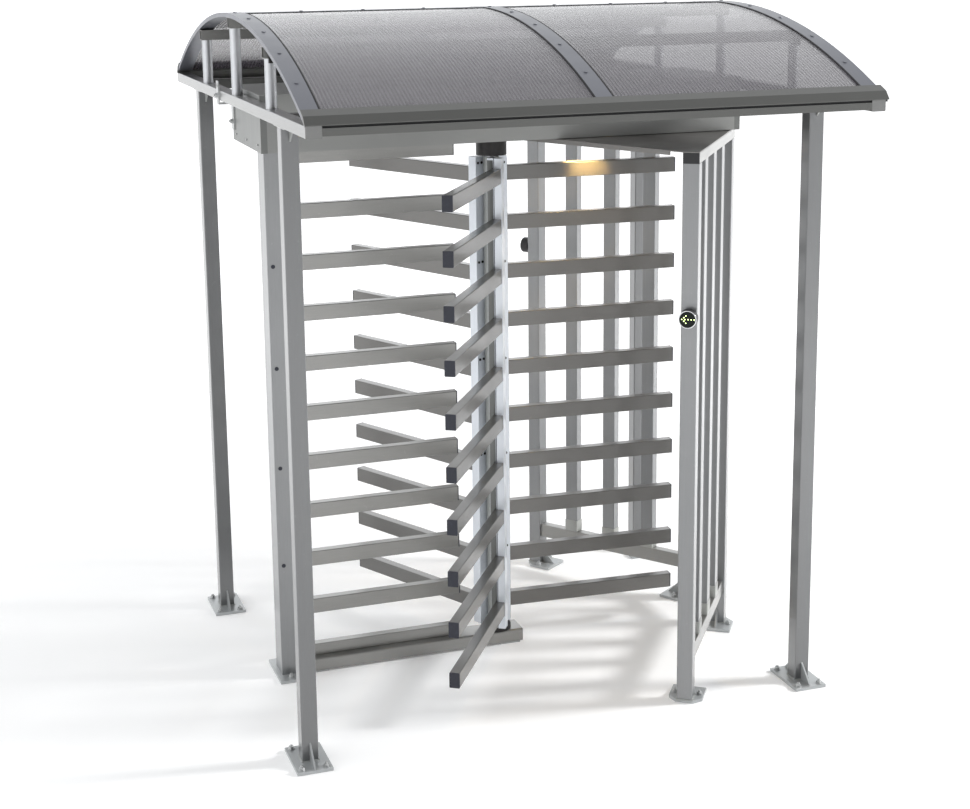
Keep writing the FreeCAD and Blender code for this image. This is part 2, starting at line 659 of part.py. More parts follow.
def make_electronics():
    floor = HOUSING_UNDER + SHEET
    low = floor + STANDOFF_HIGH
    board = block(BOARD_X - BOARD_LONG / 2, BOARD_X + BOARD_LONG / 2, -BOARD_WIDE / 2, BOARD_WIDE / 2,
                  low, low + BOARD_THICK)
    chips = [block(BOARD_X - 30, BOARD_X + 10, -20, 20, low + BOARD_THICK, low + BOARD_THICK + 3),
             block(BOARD_X - 100, BOARD_X + 100, 48, 64, low + BOARD_THICK, low + BOARD_THICK + 14),
             block(BOARD_X + 40, BOARD_X + 70, -50, -20, low + BOARD_THICK, low + BOARD_THICK + 18)]
    for chip in chips:
        board = board.fuse(chip)
    save("controller_board", board.removeSplitter())

    posts = []
    for x in (BOARD_X - BOARD_LONG / 2 + 8, BOARD_X + BOARD_LONG / 2 - 8):
        for y in (-BOARD_WIDE / 2 + 8, BOARD_WIDE / 2 - 8):
            posts.append(rod(4.0, V(x, y, floor), UP, STANDOFF_HIGH))
    save("board_standoffs", *posts)

    save("power_supply", block(SUPPLY_X - SUPPLY_LONG / 2, SUPPLY_X + SUPPLY_LONG / 2, -SUPPLY_WIDE / 2,
                               SUPPLY_WIDE / 2, floor, floor + SUPPLY_HIGH))


def make_key_lock():
    outside = HOUSING_HALF
    depth = 30.0
    face = V(KEY_X, outside - SHEET - depth, KEY_Z)
    collar_start = V(KEY_X, outside, KEY_Z)
    body = rod(KEY_RADIUS, face, V(0, 1, 0), depth + SHEET)
    body = body.fuse(rod(KEY_RADIUS + 4, collar_start, V(0, 1, 0), 3))
    body = body.cut(rod(BARREL_RADIUS + RUNNING, face, V(0, 1, 0), depth + SHEET + 3)).removeSplitter()
    save("key_lock_body", body)

    barrel = rod(BARREL_RADIUS, face, V(0, 1, 0), depth + SHEET + 4)
    slot = block(KEY_X - 1, KEY_X + 1, outside - 10, outside + 4, KEY_Z - 5, KEY_Z + 5)
    cam = block(KEY_X - 6, KEY_X + 6, face.y - 6, face.y - 1, KEY_Z - 34, KEY_Z + 6)
    stub = rod(5.0, V(KEY_X, face.y - 6, KEY_Z), V(0, 1, 0), 6)
    save("key_barrel", barrel.cut(slot).fuse(cam).fuse(stub).removeSplitter())


# ---- fence -------------------------------------------------------------------------------
def fence_plan():
    """Post centres and turn angles, front to back."""
    return [(FENCE_NEAR_X, -FENCE_NEAR_Y, PANEL_ANGLE), (FENCE_FAR_X, -FENCE_FAR_Y, PANEL_ANGLE),
            (FENCE_FAR_X, FENCE_FAR_Y, -PANEL_ANGLE), (FENCE_NEAR_X, FENCE_NEAR_Y, -PANEL_ANGLE)]


def along_panel(share):
    x = FENCE_NEAR_X + (FENCE_FAR_X - FENCE_NEAR_X) * share
    y = -FENCE_NEAR_Y + (FENCE_NEAR_Y - FENCE_FAR_Y) * share
    return x, y


def fence_foot(outward):
    """A chamfered floor plate under a post at the origin, with a rib along the panel."""
    half = FENCE_PLATE / 2
    edge = -FENCE_POST / 2
    back = edge + FENCE_PLATE_LONG
    cut = FENCE_PLATE_CHAMFER
    outline = [(edge, -half + cut), (edge + cut, -half), (back, -half), (back, half),
               (edge + cut, half), (edge, half - cut)]
    plate = prism([(outward * x, y) for x, y in outline], 0, PLATE_THICK)
    for side in (-1, 1):
        centre = V(outward * (edge + FENCE_PLATE_LONG / 2), side * FENCE_HOLE_SIDE, 0)
        plate = plate.cut(rod(FENCE_HOLE_RADIUS, centre, UP, PLATE_THICK))
    start = FENCE_POST / 2
    corners = [V(outward * start, -GUSSET_THICK / 2, PLATE_THICK),
               V(outward * (start + GUSSET_LEG), -GUSSET_THICK / 2, PLATE_THICK),
               V(outward * start, -GUSSET_THICK / 2, PLATE_THICK + GUSSET_LEG)]
    rib = Part.Face(Part.makePolygon(corners + corners[:1])).extrude(V(0, GUSSET_THICK, 0))
    return plate.fuse(rib).removeSplitter()


def make_fence():
    uprights = []
    feet = []
    for number, (x, y, angle) in enumerate(fence_plan()):
        uprights.append(post(x, y, PLATE_THICK, FENCE_POST_TOP, FENCE_POST, FENCE_POST,
                             FENCE_WALL, POST_RADIUS, angle))
        outward = 1 if number == 0 or number == 3 else -1
        feet.append(moved(turned(fence_foot(outward), angle), x, y, 0))
    save("fence_posts", *uprights)
    save("fence_feet", *feet)

    direction = V(FENCE_FAR_X - FENCE_NEAR_X, FENCE_NEAR_Y - FENCE_FAR_Y, 0).normalize()
    rail_middle = FENCE_RAIL_UNDER + FENCE_RAIL_TALL / 2
    near = V(FENCE_NEAR_X, -FENCE_NEAR_Y, rail_middle) + direction * (FENCE_POST / 2)
    front = tube(near, direction, PANEL_LONG - FENCE_POST, BAR_THICK, FENCE_RAIL_TALL, BAR_WALL, BAR_RADIUS)
    corner = FENCE_FAR_Y - FENCE_POST * 0.71
    middle = tube(V(FENCE_FAR_X, -corner, rail_middle), V(0, 1, 0), 2 * corner, BAR_THICK,
                  FENCE_RAIL_TALL, BAR_WALL, BAR_RADIUS)
    save("fence_bottom_rails", front, middle, mirrored(front))

    bars = []
    bar_low = FENCE_RAIL_UNDER + FENCE_RAIL_TALL
    for number in range(1, FENCE_BARS + 1):
        x, y = along_panel(number / (FENCE_BARS + 1))
        one = post(x, y, bar_low, FENCE_POST_TOP, BAR_HIGH, BAR_THICK, BAR_WALL, BAR_RADIUS, PANEL_ANGLE)
        bars += [one, mirrored(one)]
    bars.append(post(FENCE_FAR_X, 0, bar_low, FENCE_POST_TOP, BAR_THICK, BAR_HIGH, BAR_WALL, BAR_RADIUS))
    save("fence_bars", *bars)

    top_middle = FENCE_POST_TOP + TOP_RAIL_HIGH / 2
    start = V(FENCE_NEAR_X, -FENCE_NEAR_Y, top_middle) - direction * (FENCE_POST / 2 - CAP_THICK)
    top_long = PANEL_LONG + FENCE_POST - CAP_THICK
    top_front = tube(start, direction, top_long, FENCE_POST, TOP_RAIL_HIGH, BAR_WALL, BAR_RADIUS)
    inner_end = corner - 14
    top_middle_rail = tube(V(FENCE_FAR_X, -inner_end, top_middle), V(0, 1, 0), 2 * inner_end, FENCE_POST,
                           TOP_RAIL_HIGH, BAR_WALL, BAR_RADIUS)
    top_middle_rail = top_middle_rail.cut(outline_of(top_front)).cut(outline_of(mirrored(top_front)))
    save("fence_top_rails", top_front, top_middle_rail, mirrored(top_front))
    cap = end_cap(start, direction * -1, TOP_RAIL_HIGH, FENCE_POST)
    save("fence_rail_caps", cap, mirrored(cap))


def outline_of(shape):
    """The solid bounding prism of a top rail, for fitting the next one against it."""
    direction = V(FENCE_FAR_X - FENCE_NEAR_X, FENCE_NEAR_Y - FENCE_FAR_Y, 0).normalize()
    start = V(FENCE_NEAR_X, -FENCE_NEAR_Y, FENCE_POST_TOP + TOP_RAIL_HIGH / 2) - direction * FENCE_POST
    solid = solid_bar(start, direction, PANEL_LONG + 2 * FENCE_POST, FENCE_POST + 1, TOP_RAIL_HIGH + 2, 0.5)
    return solid if shape.BoundBox.YMin < -FENCE_FAR_Y - FENCE_POST else mirrored(solid)


def rail_corner(x, y, along, across):
    """A corner of the fence's outer edge, given in a panel's own directions."""
    angle = math.radians(PANEL_ANGLE)
    return (x + along * math.cos(angle) + across * math.sin(angle),
            y + along * math.sin(angle) - across * math.cos(angle))


def ceiling_outline(inset):
    """Half of the ceiling's plan outline, from the rotor round the front panel to the far post."""
    half = FENCE_POST / 2 - inset
    return [(CEILING_INNER_X + inset, -CEILING_INNER_Y + inset),
            rail_corner(FENCE_NEAR_X, -FENCE_NEAR_Y, -half, -half),
            rail_corner(FENCE_NEAR_X, -FENCE_NEAR_Y, -half, half),
            rail_corner(FENCE_FAR_X, -FENCE_FAR_Y, 0, half),
            (FENCE_FAR_X + half, -FENCE_FAR_Y + half)]


def make_ceiling():
    half = ceiling_outline(0)
    full = half + [(x, -y) for x, y in reversed(half)]
    sheet = prism(full, RAIL_TOP, CEILING_TOP)
    (x0, y0), (x1, y1) = half[0], half[1]
    long = math.hypot(x1 - x0, y1 - y0)
    lean = math.degrees(math.atan2(y1 - y0, x1 - x0))
    flange = block(0, long - FENCE_POST, 0, SHEET, CEILING_TOP - CEILING_FLANGE, RAIL_TOP)
    flange = moved(turned(flange, lean), x0, y0, 0)
    panel = sheet.fuse(flange).fuse(mirrored(flange))
    for side in (-1, 1):
        panel = panel.cut(rod(LAMP_RADIUS - 6, V(LAMP_X, side * LAMP_Y, RAIL_TOP), UP, SHEET))
    save("ceiling_panel", panel.removeSplitter())

    lamps = []
    lenses = []
    for side in (-1, 1):
        y = side * LAMP_Y
        shade = ring(LAMP_RADIUS, LAMP_RADIUS - 6, RAIL_TOP - LAMP_HIGH, RAIL_TOP, LAMP_X, y)
        lamps.append(shade)
        lenses.append(rod(LAMP_RADIUS - 6, V(LAMP_X, y, RAIL_TOP - LAMP_HIGH + 2), UP, 4))
    save("ceiling_lamps", *lamps)
    save("lamp_lenses", *lenses)


def make_displays():
    """A round direction indicator on the outer end face of each fence end post."""
    angle = math.radians(PANEL_ANGLE)
    outward = V(-math.cos(angle), -math.sin(angle), 0)
    face = V(FENCE_NEAR_X, -FENCE_NEAR_Y, DISPLAY_Z) + outward * (FENCE_POST / 2)
    shell = rod(DISPLAY_RADIUS, face, outward, DISPLAY_DEEP)
    pocket = face + outward * (DISPLAY_DEEP - LENS_THICK)
    shell = shell.cut(rod(LENS_RADIUS, pocket, outward, LENS_THICK))
    save("display_housings", shell, mirrored(shell))
    lens = rod(LENS_RADIUS, pocket, outward, LENS_THICK - 1)
    save("display_lenses", lens, mirrored(lens))


# ---- canopy ------------------------------------------------------------------------------
def canopy_post_plan():
    x = CANOPY_HALF_X - CANOPY_POST / 2
    y = CANOPY_HALF_Y - CANOPY_POST / 2
    return [(-x, -y), (x, -y), (x, y), (-x, y)]


def post_rib(leg, z, rise):
    """A triangular rib that stands on a post's -Y face."""
    near = -CANOPY_POST / 2
    half = GUSSET_THICK / 2
    return side_prism([(near, z), (near - leg, z), (near, z + rise * leg)], -half, half)


def canopy_foot():
    plate = block(-FOOT_X / 2, FOOT_X / 2, -FOOT_Y / 2, FOOT_Y / 2, 0, PLATE_THICK)
    for x in (-FOOT_HOLE_X / 2, FOOT_HOLE_X / 2):
        for y in (-FOOT_HOLE_Y / 2, FOOT_HOLE_Y / 2):
            plate = plate.cut(rod(FOOT_HOLE_RADIUS, V(x, y, 0), UP, PLATE_THICK))
    rib = post_rib(FOOT_RIB, PLATE_THICK, 1)
    return plate.fuse(rib).fuse(turned(rib, 180)).removeSplitter()


def canopy_head():
    plate = block(-CANOPY_POST / 2, CANOPY_POST / 2, -HEAD_LONG / 2, HEAD_LONG / 2,
                  TIE_UNDER - HEAD_PLATE, TIE_UNDER)
    rib = post_rib(HEAD_RIB, TIE_UNDER - HEAD_PLATE, -1)
    return plate.fuse(rib).fuse(turned(rib, 180)).removeSplitter()


def make_canopy_frame():
    plan = canopy_post_plan()
    uprights = [post(x, y, PLATE_THICK, TIE_UNDER - HEAD_PLATE, CANOPY_POST, CANOPY_POST,
                     POST_WALL, POST_RADIUS) for x, y in plan]
    save("canopy_posts", *uprights)
    save("canopy_feet", *[moved(canopy_foot(), x, y, 0) for x, y in plan])
    save("post_brackets", *[moved(canopy_head(), x, y, 0) for x, y in plan])

    tie_z = TIE_UNDER + TIE_HIGH / 2
    tie_x = ROOF_HALF_X - TIE_WIDE / 2
    ties = [tube(V(side * tie_x, -TIE_HALF, tie_z), V(0, 1, 0), 2 * TIE_HALF, TIE_WIDE, TIE_HIGH,
                 POST_WALL, POST_RADIUS) for side in (-1, 1)]
    plates = [block(side * tie_x - TIE_WIDE / 2 + POST_WALL, side * tie_x + TIE_WIDE / 2 - POST_WALL,
                    end - POST_WALL, end, TIE_UNDER + POST_WALL, TIE_TOP - POST_WALL)
              for side in (-1, 1) for end in (TIE_HALF, POST_WALL - TIE_HALF)]
    ties = [tie.fuse(plates[2 * index]).fuse(plates[2 * index + 1]) for index, tie in enumerate(ties)]
    rail_y = CANOPY_HALF_Y - CANOPY_POST / 2
    inside = tie_x - TIE_WIDE / 2
    rails = [tube(V(-inside, side * rail_y, tie_z), V(1, 0, 0), 2 * inside, TIE_WIDE, TIE_HIGH,
                  POST_WALL, POST_RADIUS) for side in (-1, 1)]
    save("gable_ties", *ties)
    save("side_rails", *rails)


def purlin_rows():
    """Each purlin's Y and the height of its top face, just under the roof's trim."""
    rows = []
    for y in (-PURLIN_Y, 0.0, PURLIN_Y):
        rows.append((y, arc_z(abs(y) + PURLIN / 2, TRIM_INNER)))
    return rows


def make_roof_structure():
    tie_x = ROOF_HALF_X - TIE_WIDE / 2
    purlins = []
    struts = []
    clamps = []
    for y, top in purlin_rows():
        middle = V(-ROOF_HALF_X + RIB_THICK, y, top - PURLIN / 2)
        long = 2 * (ROOF_HALF_X - RIB_THICK)
        purlins.append(tube(middle, V(1, 0, 0), long, PURLIN, PURLIN, BAR_WALL, 0.5))
        for side in (-1, 1):
            x = side * tie_x
            foot = V(x, y, TIE_TOP)
            high = top - PURLIN - TIE_TOP
            struts.append(rod(STRUT_RADIUS, foot, UP, high).cut(rod(STRUT_RADIUS - STRUT_WALL, foot, UP, high)))
            near = y + PURLIN / 2 if y >= 0 else y - PURLIN / 2 - CLAMP_THICK
            reach = max(abs(near), abs(near + CLAMP_THICK))
            high_end = arc_z(reach, TRIM_INNER)
            clamps.append(block(x - 10, x + 10, near, near + CLAMP_THICK, high_end - CLAMP_HIGH, high_end))
    save("purlins", *purlins)
    save("gable_struts", *struts)
    save("purlin_clamps", *clamps)


def make_roof_skin():
    half_rib = RIB_WIDE / 2
    inner_x = ROOF_HALF_X - RIB_THICK
    sheets = [arc_band(SHEET_OUTER, SHEET_INNER, ROOF_HALF_Y, -inner_x, -1),
              arc_band(SHEET_OUTER, SHEET_INNER, ROOF_HALF_Y, 1, inner_x)]
    save("roof_sheets", *sheets)

    ribs = []
    for side in (-1, 1):
        outer = side * ROOF_HALF_X
        x0 = min(outer, outer - side * RIB_WIDE)
        trim = arc_band(ROOF_RADIUS, TRIM_INNER, ROOF_HALF_Y, x0, x0 + RIB_WIDE)
        slot_from = x0 + RIB_THICK if side < 0 else x0
        slot = arc_band(SHEET_OUTER, SHEET_INNER, ROOF_HALF_Y + 5, slot_from, slot_from + RIB_WIDE - RIB_THICK)
        ribs.append(trim.cut(slot))
    ribs.append(arc_band(ROOF_RADIUS, SHEET_OUTER, ROOF_HALF_Y, -half_rib, half_rib))
    ribs.append(arc_band(SHEET_INNER, TRIM_INNER, ROOF_HALF_Y, -half_rib, half_rib))
    save("arch_ribs", *ribs)

    strips = []
    for x0, x1 in ((-ROOF_HALF_X + RIB_WIDE, -half_rib), (half_rib, ROOF_HALF_X - RIB_WIDE)):
        strips.append(arc_band(ROOF_RADIUS, SHEET_OUTER, RIDGE_WIDE / 2, x0, x1))
    save("ridge_strips", *strips)


def roof_screw(x, angle):
    centre = V(x, ROOF_RADIUS * math.sin(angle), ROOF_CENTRE_Z + ROOF_RADIUS * math.cos(angle))
    outward = V(0, math.sin(angle), math.cos(angle))
    sunk = centre - outward * 0.2
    return rod(ROOF_SCREW_RADIUS, sunk, outward, ROOF_SCREW_HIGH + 0.2)


def make_roof_screws():
    skin = Part.makeCylinder(ROOF_RADIUS, 2 * ROOF_HALF_X, V(-ROOF_HALF_X, 0, ROOF_CENTRE_Z), V(1, 0, 0))
    screws = []
    step = ROOF_SCREW_PITCH / ROOF_RADIUS
    for x in (-ROOF_HALF_X + RIB_WIDE / 2, 0.0, ROOF_HALF_X - RIB_WIDE / 2):
        for place in range(-RIB_SCREWS, RIB_SCREWS + 1):
            screws.append(roof_screw(x, place * step).cut(skin))
    for number in range(RIDGE_SCREWS):
        x = RIDGE_SCREW_FIRST + RIDGE_SCREW_STEP * number
        screws.append(roof_screw(x, 0.0).cut(skin))
        screws.append(roof_screw(-x, 0.0).cut(skin))
    save("roof_screws", *screws)


def make_eaves():
    """A folded gutter along each lower edge: a sloping lip over a grooved vertical face."""
    z = arc_z(ROOF_HALF_Y, ROOF_RADIUS)
    y = ROOF_HALF_Y
    sheet = GUTTER_SHEET
    groove_y = y + GUTTER_NOSE - GUTTER_GROOVE_DEEP
    groove_z = z - GUTTER_NOSE_DROP - GUTTER_GROOVE_HIGH
    face_y = y + GUTTER_FACE
    under = z - GUTTER_DROP
    outline = [(y - GUTTER_LIP_IN, z + GUTTER_LIP_UP), (y + GUTTER_BEND, z + sheet),
               (y + GUTTER_NOSE, z - GUTTER_NOSE_DROP + GUTTER_EDGE), (y + GUTTER_NOSE, z - GUTTER_NOSE_DROP),
               (groove_y, z - GUTTER_NOSE_DROP), (groove_y, groove_z), (face_y, groove_z), (face_y, under),
               (y - GUTTER_RETURN, under), (y - GUTTER_RETURN, under + sheet),
               (face_y - sheet, under + sheet), (face_y - sheet, groove_z - sheet),
               (groove_y - sheet, groove_z - sheet), (groove_y - sheet, z - GUTTER_NOSE_DROP + sheet),
               (y + GUTTER_BEND / 2, z - sheet * 3), (y - GUTTER_LIP_IN, z + sheet * 2)]
    gutter = side_prism(outline, -ROOF_HALF_X - GUTTER_LEFT, ROOF_HALF_X + EAVE_OVERHANG)
    under_lip = arc_band(ROOF_RADIUS, TRIM_INNER, ROOF_HALF_Y, -ROOF_HALF_X - 5,
                         ROOF_HALF_X + EAVE_OVERHANG + 5)
    gutter = gutter.cut(under_lip)
    inside = ROOF_HALF_X - TIE_WIDE
    for x0, x1 in ((-ROOF_HALF_X - 10, -inside), (inside, ROOF_HALF_X + EAVE_OVERHANG + 10)):
        gutter = gutter.cut(block(x0, x1, y - 80, y + 60, TIE_UNDER - 10, TIE_TOP))
    save("eave_gutters", gutter, mirrored(gutter))


def main():
    os.makedirs("parts", exist_ok=True)
    make_comb()
    make_housing()
    make_tie_strap()
    make_rotor()
    make_bearings()
    make_gears()
    make_index_wheel()
    make_locks()
    make_electronics()
    make_key_lock()
    make_fence()
    make_ceiling()
    make_displays()
    make_canopy_frame()
    make_roof_structure()
    make_roof_skin()
    make_roof_screws()
    make_eaves()


main()
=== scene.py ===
# %% [markdown]
# A full-height turnstile stands under a curved canopy. Its solids are already made, so
# this lesson starts by loading them as a fixed frame.
# Everything after this adds finish and small parts and never moves what was loaded.

# %% Load the frame
import bpy
import json
import math
from mathutils import Matrix, Vector


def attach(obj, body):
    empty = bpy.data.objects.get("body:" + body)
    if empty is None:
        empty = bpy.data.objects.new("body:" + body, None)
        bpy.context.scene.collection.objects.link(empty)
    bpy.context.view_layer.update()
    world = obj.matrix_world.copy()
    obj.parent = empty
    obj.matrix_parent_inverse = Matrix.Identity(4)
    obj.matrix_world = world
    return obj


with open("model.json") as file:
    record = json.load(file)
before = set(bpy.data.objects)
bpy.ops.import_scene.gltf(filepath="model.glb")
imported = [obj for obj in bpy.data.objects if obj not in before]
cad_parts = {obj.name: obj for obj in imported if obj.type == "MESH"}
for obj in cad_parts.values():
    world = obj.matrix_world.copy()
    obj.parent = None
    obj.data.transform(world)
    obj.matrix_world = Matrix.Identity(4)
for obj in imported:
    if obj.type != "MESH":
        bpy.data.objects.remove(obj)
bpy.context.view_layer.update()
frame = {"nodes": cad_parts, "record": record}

nodes = frame["nodes"]
record = frame["record"]

# %% [markdown]
# The camera stands in front and to the left, a little above the top of the roof, and
# looks down slightly. A long lens keeps the posts nearly parallel. Shifting the lens
# down does part of the work of tilting, so the posts lean less.

# %% Camera
eye = Vector((-2.240, -6.388, 2.889))
turn_right = 0.3328
look_down = 0.2013
lens_roll = -0.0109
sensor_width = 36.0
focal_length = 63.7868
lens_shift = -0.12
far_limit = 400.0

camera_data = bpy.data.cameras.new("view")
camera_data.sensor_width = sensor_width
camera_data.lens = focal_length
camera_data.shift_y = lens_shift
camera_data.clip_end = far_limit
camera = bpy.data.objects.new("view", camera_data)
bpy.context.collection.objects.link(camera)
camera.location = eye
camera.rotation_euler = (math.pi / 2 - look_down, 0.0, -turn_right)
camera.rotation_euler.rotate_axis("Z", lens_roll)
bpy.context.scene.camera = camera
print("lens", round(camera_data.lens, 1), "mm")

# %% [markdown]
# The room is a soft white dome, dimmer behind the camera so that faces turned towards it
# read a little darker than their top edges. Two area lamps add a lit side and a shaded
# side. The brighter and smaller one stands at the right, so soft shadows fall to the
# left. What the lens itself sees of the room is plain white on every side.

# %% Room and studio lamps
def soft_room(front_light, back_light, falloff):
    """A dome whose brightness runs from one side of the room to the other."""
    world = bpy.data.worlds.new("room")
    world.use_nodes = True
    tree = world.node_tree
    direction = tree.nodes.new("ShaderNodeTexCoord")
    split = tree.nodes.new("ShaderNodeSeparateXYZ")
    share = tree.nodes.new("ShaderNodeMapRange")
    curve = tree.nodes.new("ShaderNodeMath")
    curve.operation = "POWER"
    curve.inputs[1].default_value = falloff
    rise = tree.nodes.new("ShaderNodeMapRange")
    rise.inputs["From Min"].default_value = -1.0
    share.inputs["To Min"].default_value = front_light
    share.inputs["To Max"].default_value = back_light
    background = tree.nodes["Background"]
    background.inputs["Color"].default_value = (0.97, 0.985, 1.0, 1.0)
    tree.links.new(direction.outputs["Generated"], split.inputs[0])
    tree.links.new(split.outputs["Y"], rise.inputs["Value"])
    tree.links.new(rise.outputs[0], curve.inputs[0])
    tree.links.new(curve.outputs[0], share.inputs["Value"])
    tree.links.new(share.outputs[0], background.inputs["Strength"])
    backdrop = tree.nodes.new("ShaderNodeBackground")
    backdrop.inputs["Color"].default_value = (1.0, 1.0, 1.0, 1.0)
    seen = tree.nodes.new("ShaderNodeLightPath")
    choice = tree.nodes.new("ShaderNodeMixShader")
    tree.links.new(seen.outputs["Is Camera Ray"], choice.inputs["Fac"])
    tree.links.new(background.outputs[0], choice.inputs[1])
    tree.links.new(backdrop.outputs[0], choice.inputs[2])
    tree.links.new(choice.outputs[0], tree.nodes["World Output"].inputs["Surface"])
    bpy.context.scene.world = world


def hang(lamp_data, at, aim):
    """Hang a lamp at one point so that it shines at another."""
    lamp = bpy.data.objects.new(lamp_data.name, lamp_data)
    lamp.location = at
    lamp.rotation_euler = (Vector(aim) - Vector(at)).to_track_quat("-Z", "Y").to_euler()
    bpy.context.collection.objects.link(lamp)


def studio_lamp(name, at, aim, size, power):
    data = bpy.data.lights.new(name, "AREA")
    data.size = size
    data.energy = power
    hang(data, at, aim)


soft_room(front_light=0.42, back_light=1.45, falloff=2.4)
studio_lamp("key", (7.6, -2.3, 4.6), (0, 0, 0.8), 1.3, 640)
studio_lamp("fill", (-8.0, -1.5, 6.0), (0, 0, 1.4), 9.0, 400)
bpy.context.scene.view_settings.view_transform = "Standard"
bpy.context.scene.view_settings.look = "None"
print("room ready")

# %% [markdown]
# Finishes are built from shader nodes. Writing the sums as Python expressions keeps them
# readable, so a small class wraps one socket and turns + - * into Math nodes. Colours
# are mixed with Mix nodes, because a Math node would turn a colour grey.

# %% Sockets that can be added and multiplied
class Value:
    """One number that varies over a surface."""

    def __init__(self, finish, socket):
        self.finish = finish
        self.socket = socket

    def sum(self, operation, first, second):
        return self.finish.add("ShaderNodeMath", {"operation": operation}, {0: first, 1: second})

    def __add__(self, other):
        return self.sum("ADD", self, other)

    def __radd__(self, other):
        return self.sum("ADD", other, self)

    def __sub__(self, other):
        return self.sum("SUBTRACT", self, other)

    def __rsub__(self, other):
        return self.sum("SUBTRACT", other, self)

    def __mul__(self, other):
        return self.sum("MULTIPLY", self, other)

    def __rmul__(self, other):
        return self.sum("MULTIPLY", other, self)

    def over(self, edge):
        return self.sum("GREATER_THAN", self, edge)

    def power(self, other):
        return self.sum("POWER", self, other)

    def wave(self, pitch):
        return self.sum("SINE", self * (2 * math.pi / pitch), 0.0)


class Finish:
    """A material with one main shader, and one method that adds any other node."""

    def __init__(self, name):
        self.material = bpy.data.materials.new(name)
        self.material.use_nodes = True
        self.tree = self.material.node_tree
        self.shader = self.tree.nodes["Principled BSDF"]
        self.place = None

    def add(self, kind, settings=None, sockets=None, output=0):
        node = self.tree.nodes.new(kind)
        for key, value in (settings or {}).items():
            setattr(node, key, value)
        for key, value in (sockets or {}).items():
            self.feed(node.inputs[key], value)
        return Value(self, node.outputs[output])

    def feed(self, socket, value):
        if isinstance(value, Value):
            self.tree.links.new(value.socket, socket)
        elif isinstance(value, tuple) and len(value) == 3 and socket.type == "RGBA":
            socket.default_value = value + (1.0,)
        else:
            socket.default_value = value

    def set(self, **sockets):
        for key, value in sockets.items():
            self.feed(self.shader.inputs[key.replace("_", " ")], value)
        return self

    def where(self):
        if self.place is None:
            self.place = self.add("ShaderNodeTexCoord", {}, {}, "Object")
        return self.place

    def noise(self, size, detail=3.0, stretch=(1, 1, 1)):
        """Cloudy variation from 0 to 1, with lumps about size metres across."""
        spread = tuple(share / size for share in stretch)
        scaled = self.add("ShaderNodeMapping", {}, {"Vector": self.where(), "Scale": spread})
        return self.add("ShaderNodeTexNoise", {}, {"Vector": scaled, "Scale": 1.0, "Detail": detail})

    def cells(self, size, stretch=(1, 1, 1)):
        spread = tuple(share / size for share in stretch)
        scaled = self.add("ShaderNodeMapping", {}, {"Vector": self.where(), "Scale": spread})
        return self.add("ShaderNodeTexVoronoi", {}, {"Vector": scaled, "Scale": 1.0})

    def axis(self, letter):
        return self.add("ShaderNodeSeparateXYZ", {}, {0: self.where()}, letter)

    def blend(self, share, first, second):
        return self.add("ShaderNodeMix", {"data_type": "RGBA"}, {0: share, 6: first, 7: second}, 2)

    def bump(self, height, strength, distance):
        shape = {"Height": height, "Strength": strength, "Distance": distance}
        made = self.add("ShaderNodeBump", {}, shape)
        self.feed(self.shader.inputs["Normal"], made)
        return self


def shade(colour, factor):
    return tuple(min(1.0, part * factor) for part in colour)


finishes = {}
print("shader helpers ready")

# %% [markdown]
# Plates and sheet parts wear a satin silver-grey powder coat. Up close it has a fine
# orange peel and sparse metallic flake, and from further off the sheen drifts a little,
# with faint dust and handling marks. Tubes are brushed along their length under a clear
# coat. One recipe of each kind makes every shade.

# %% Powder-coated and brushed steel
def powder_coat(name, colour, metallic=0.35, roughness=0.38):
    f = Finish(name)
    drift = f.noise(0.55, 4.0)
    smear = f.noise(0.07, 5.0, (1, 1, 0.25))
    peel = f.noise(0.0016, 2.0)
    flake = f.cells(0.0011)
    dust = f.noise(0.012, 6.0).over(0.66) * 0.35
    base = f.blend(drift, shade(colour, 0.90), shade(colour, 1.08))
    spark = f.blend(flake * 0.22, base, shade(colour, 1.35))
    dusty = f.blend(dust * smear, spark, shade(colour, 1.16))
    f.set(Base_Color=dusty, Metallic=metallic, Roughness=roughness - 0.06 + smear * 0.14)
    f.set(Coat_Weight=0.12)
    f.shader.inputs["Coat Roughness"].default_value = 0.25
    f.bump(peel * 0.8 + flake * 0.2, 0.10, 0.0004)
    finishes[name] = f.material
    return f.material


def brushed_tube(name, colour, grain_way, metallic=0.72, roughness=0.36):
    """Satin metal with fine brush lines, long on the axes where grain_way is small."""
    f = Finish(name)
    drift = f.noise(0.50, 4.0)
    lines = f.noise(0.0016, 3.0, grain_way)
    broad = f.noise(0.012, 2.0, grain_way)
    mark = f.noise(0.014, 6.0).over(0.67) * 0.3
    base = f.blend(drift, shade(colour, 0.92), shade(colour, 1.07))
    brushed = f.blend(lines * 0.55 + broad * 0.2, shade(colour, 0.74), base)
    f.set(Base_Color=f.blend(mark * drift, brushed, shade(colour, 1.25)))
    f.set(Metallic=metallic, Roughness=roughness - 0.08 + lines * 0.16 + mark * 0.1)
    f.set(Coat_Weight=0.9)
    f.shader.inputs["Coat Roughness"].default_value = 0.20
    f.bump(lines * 0.8 + broad * 0.2, 0.16, 0.0005)
    finishes[name] = f.material
    return f.material


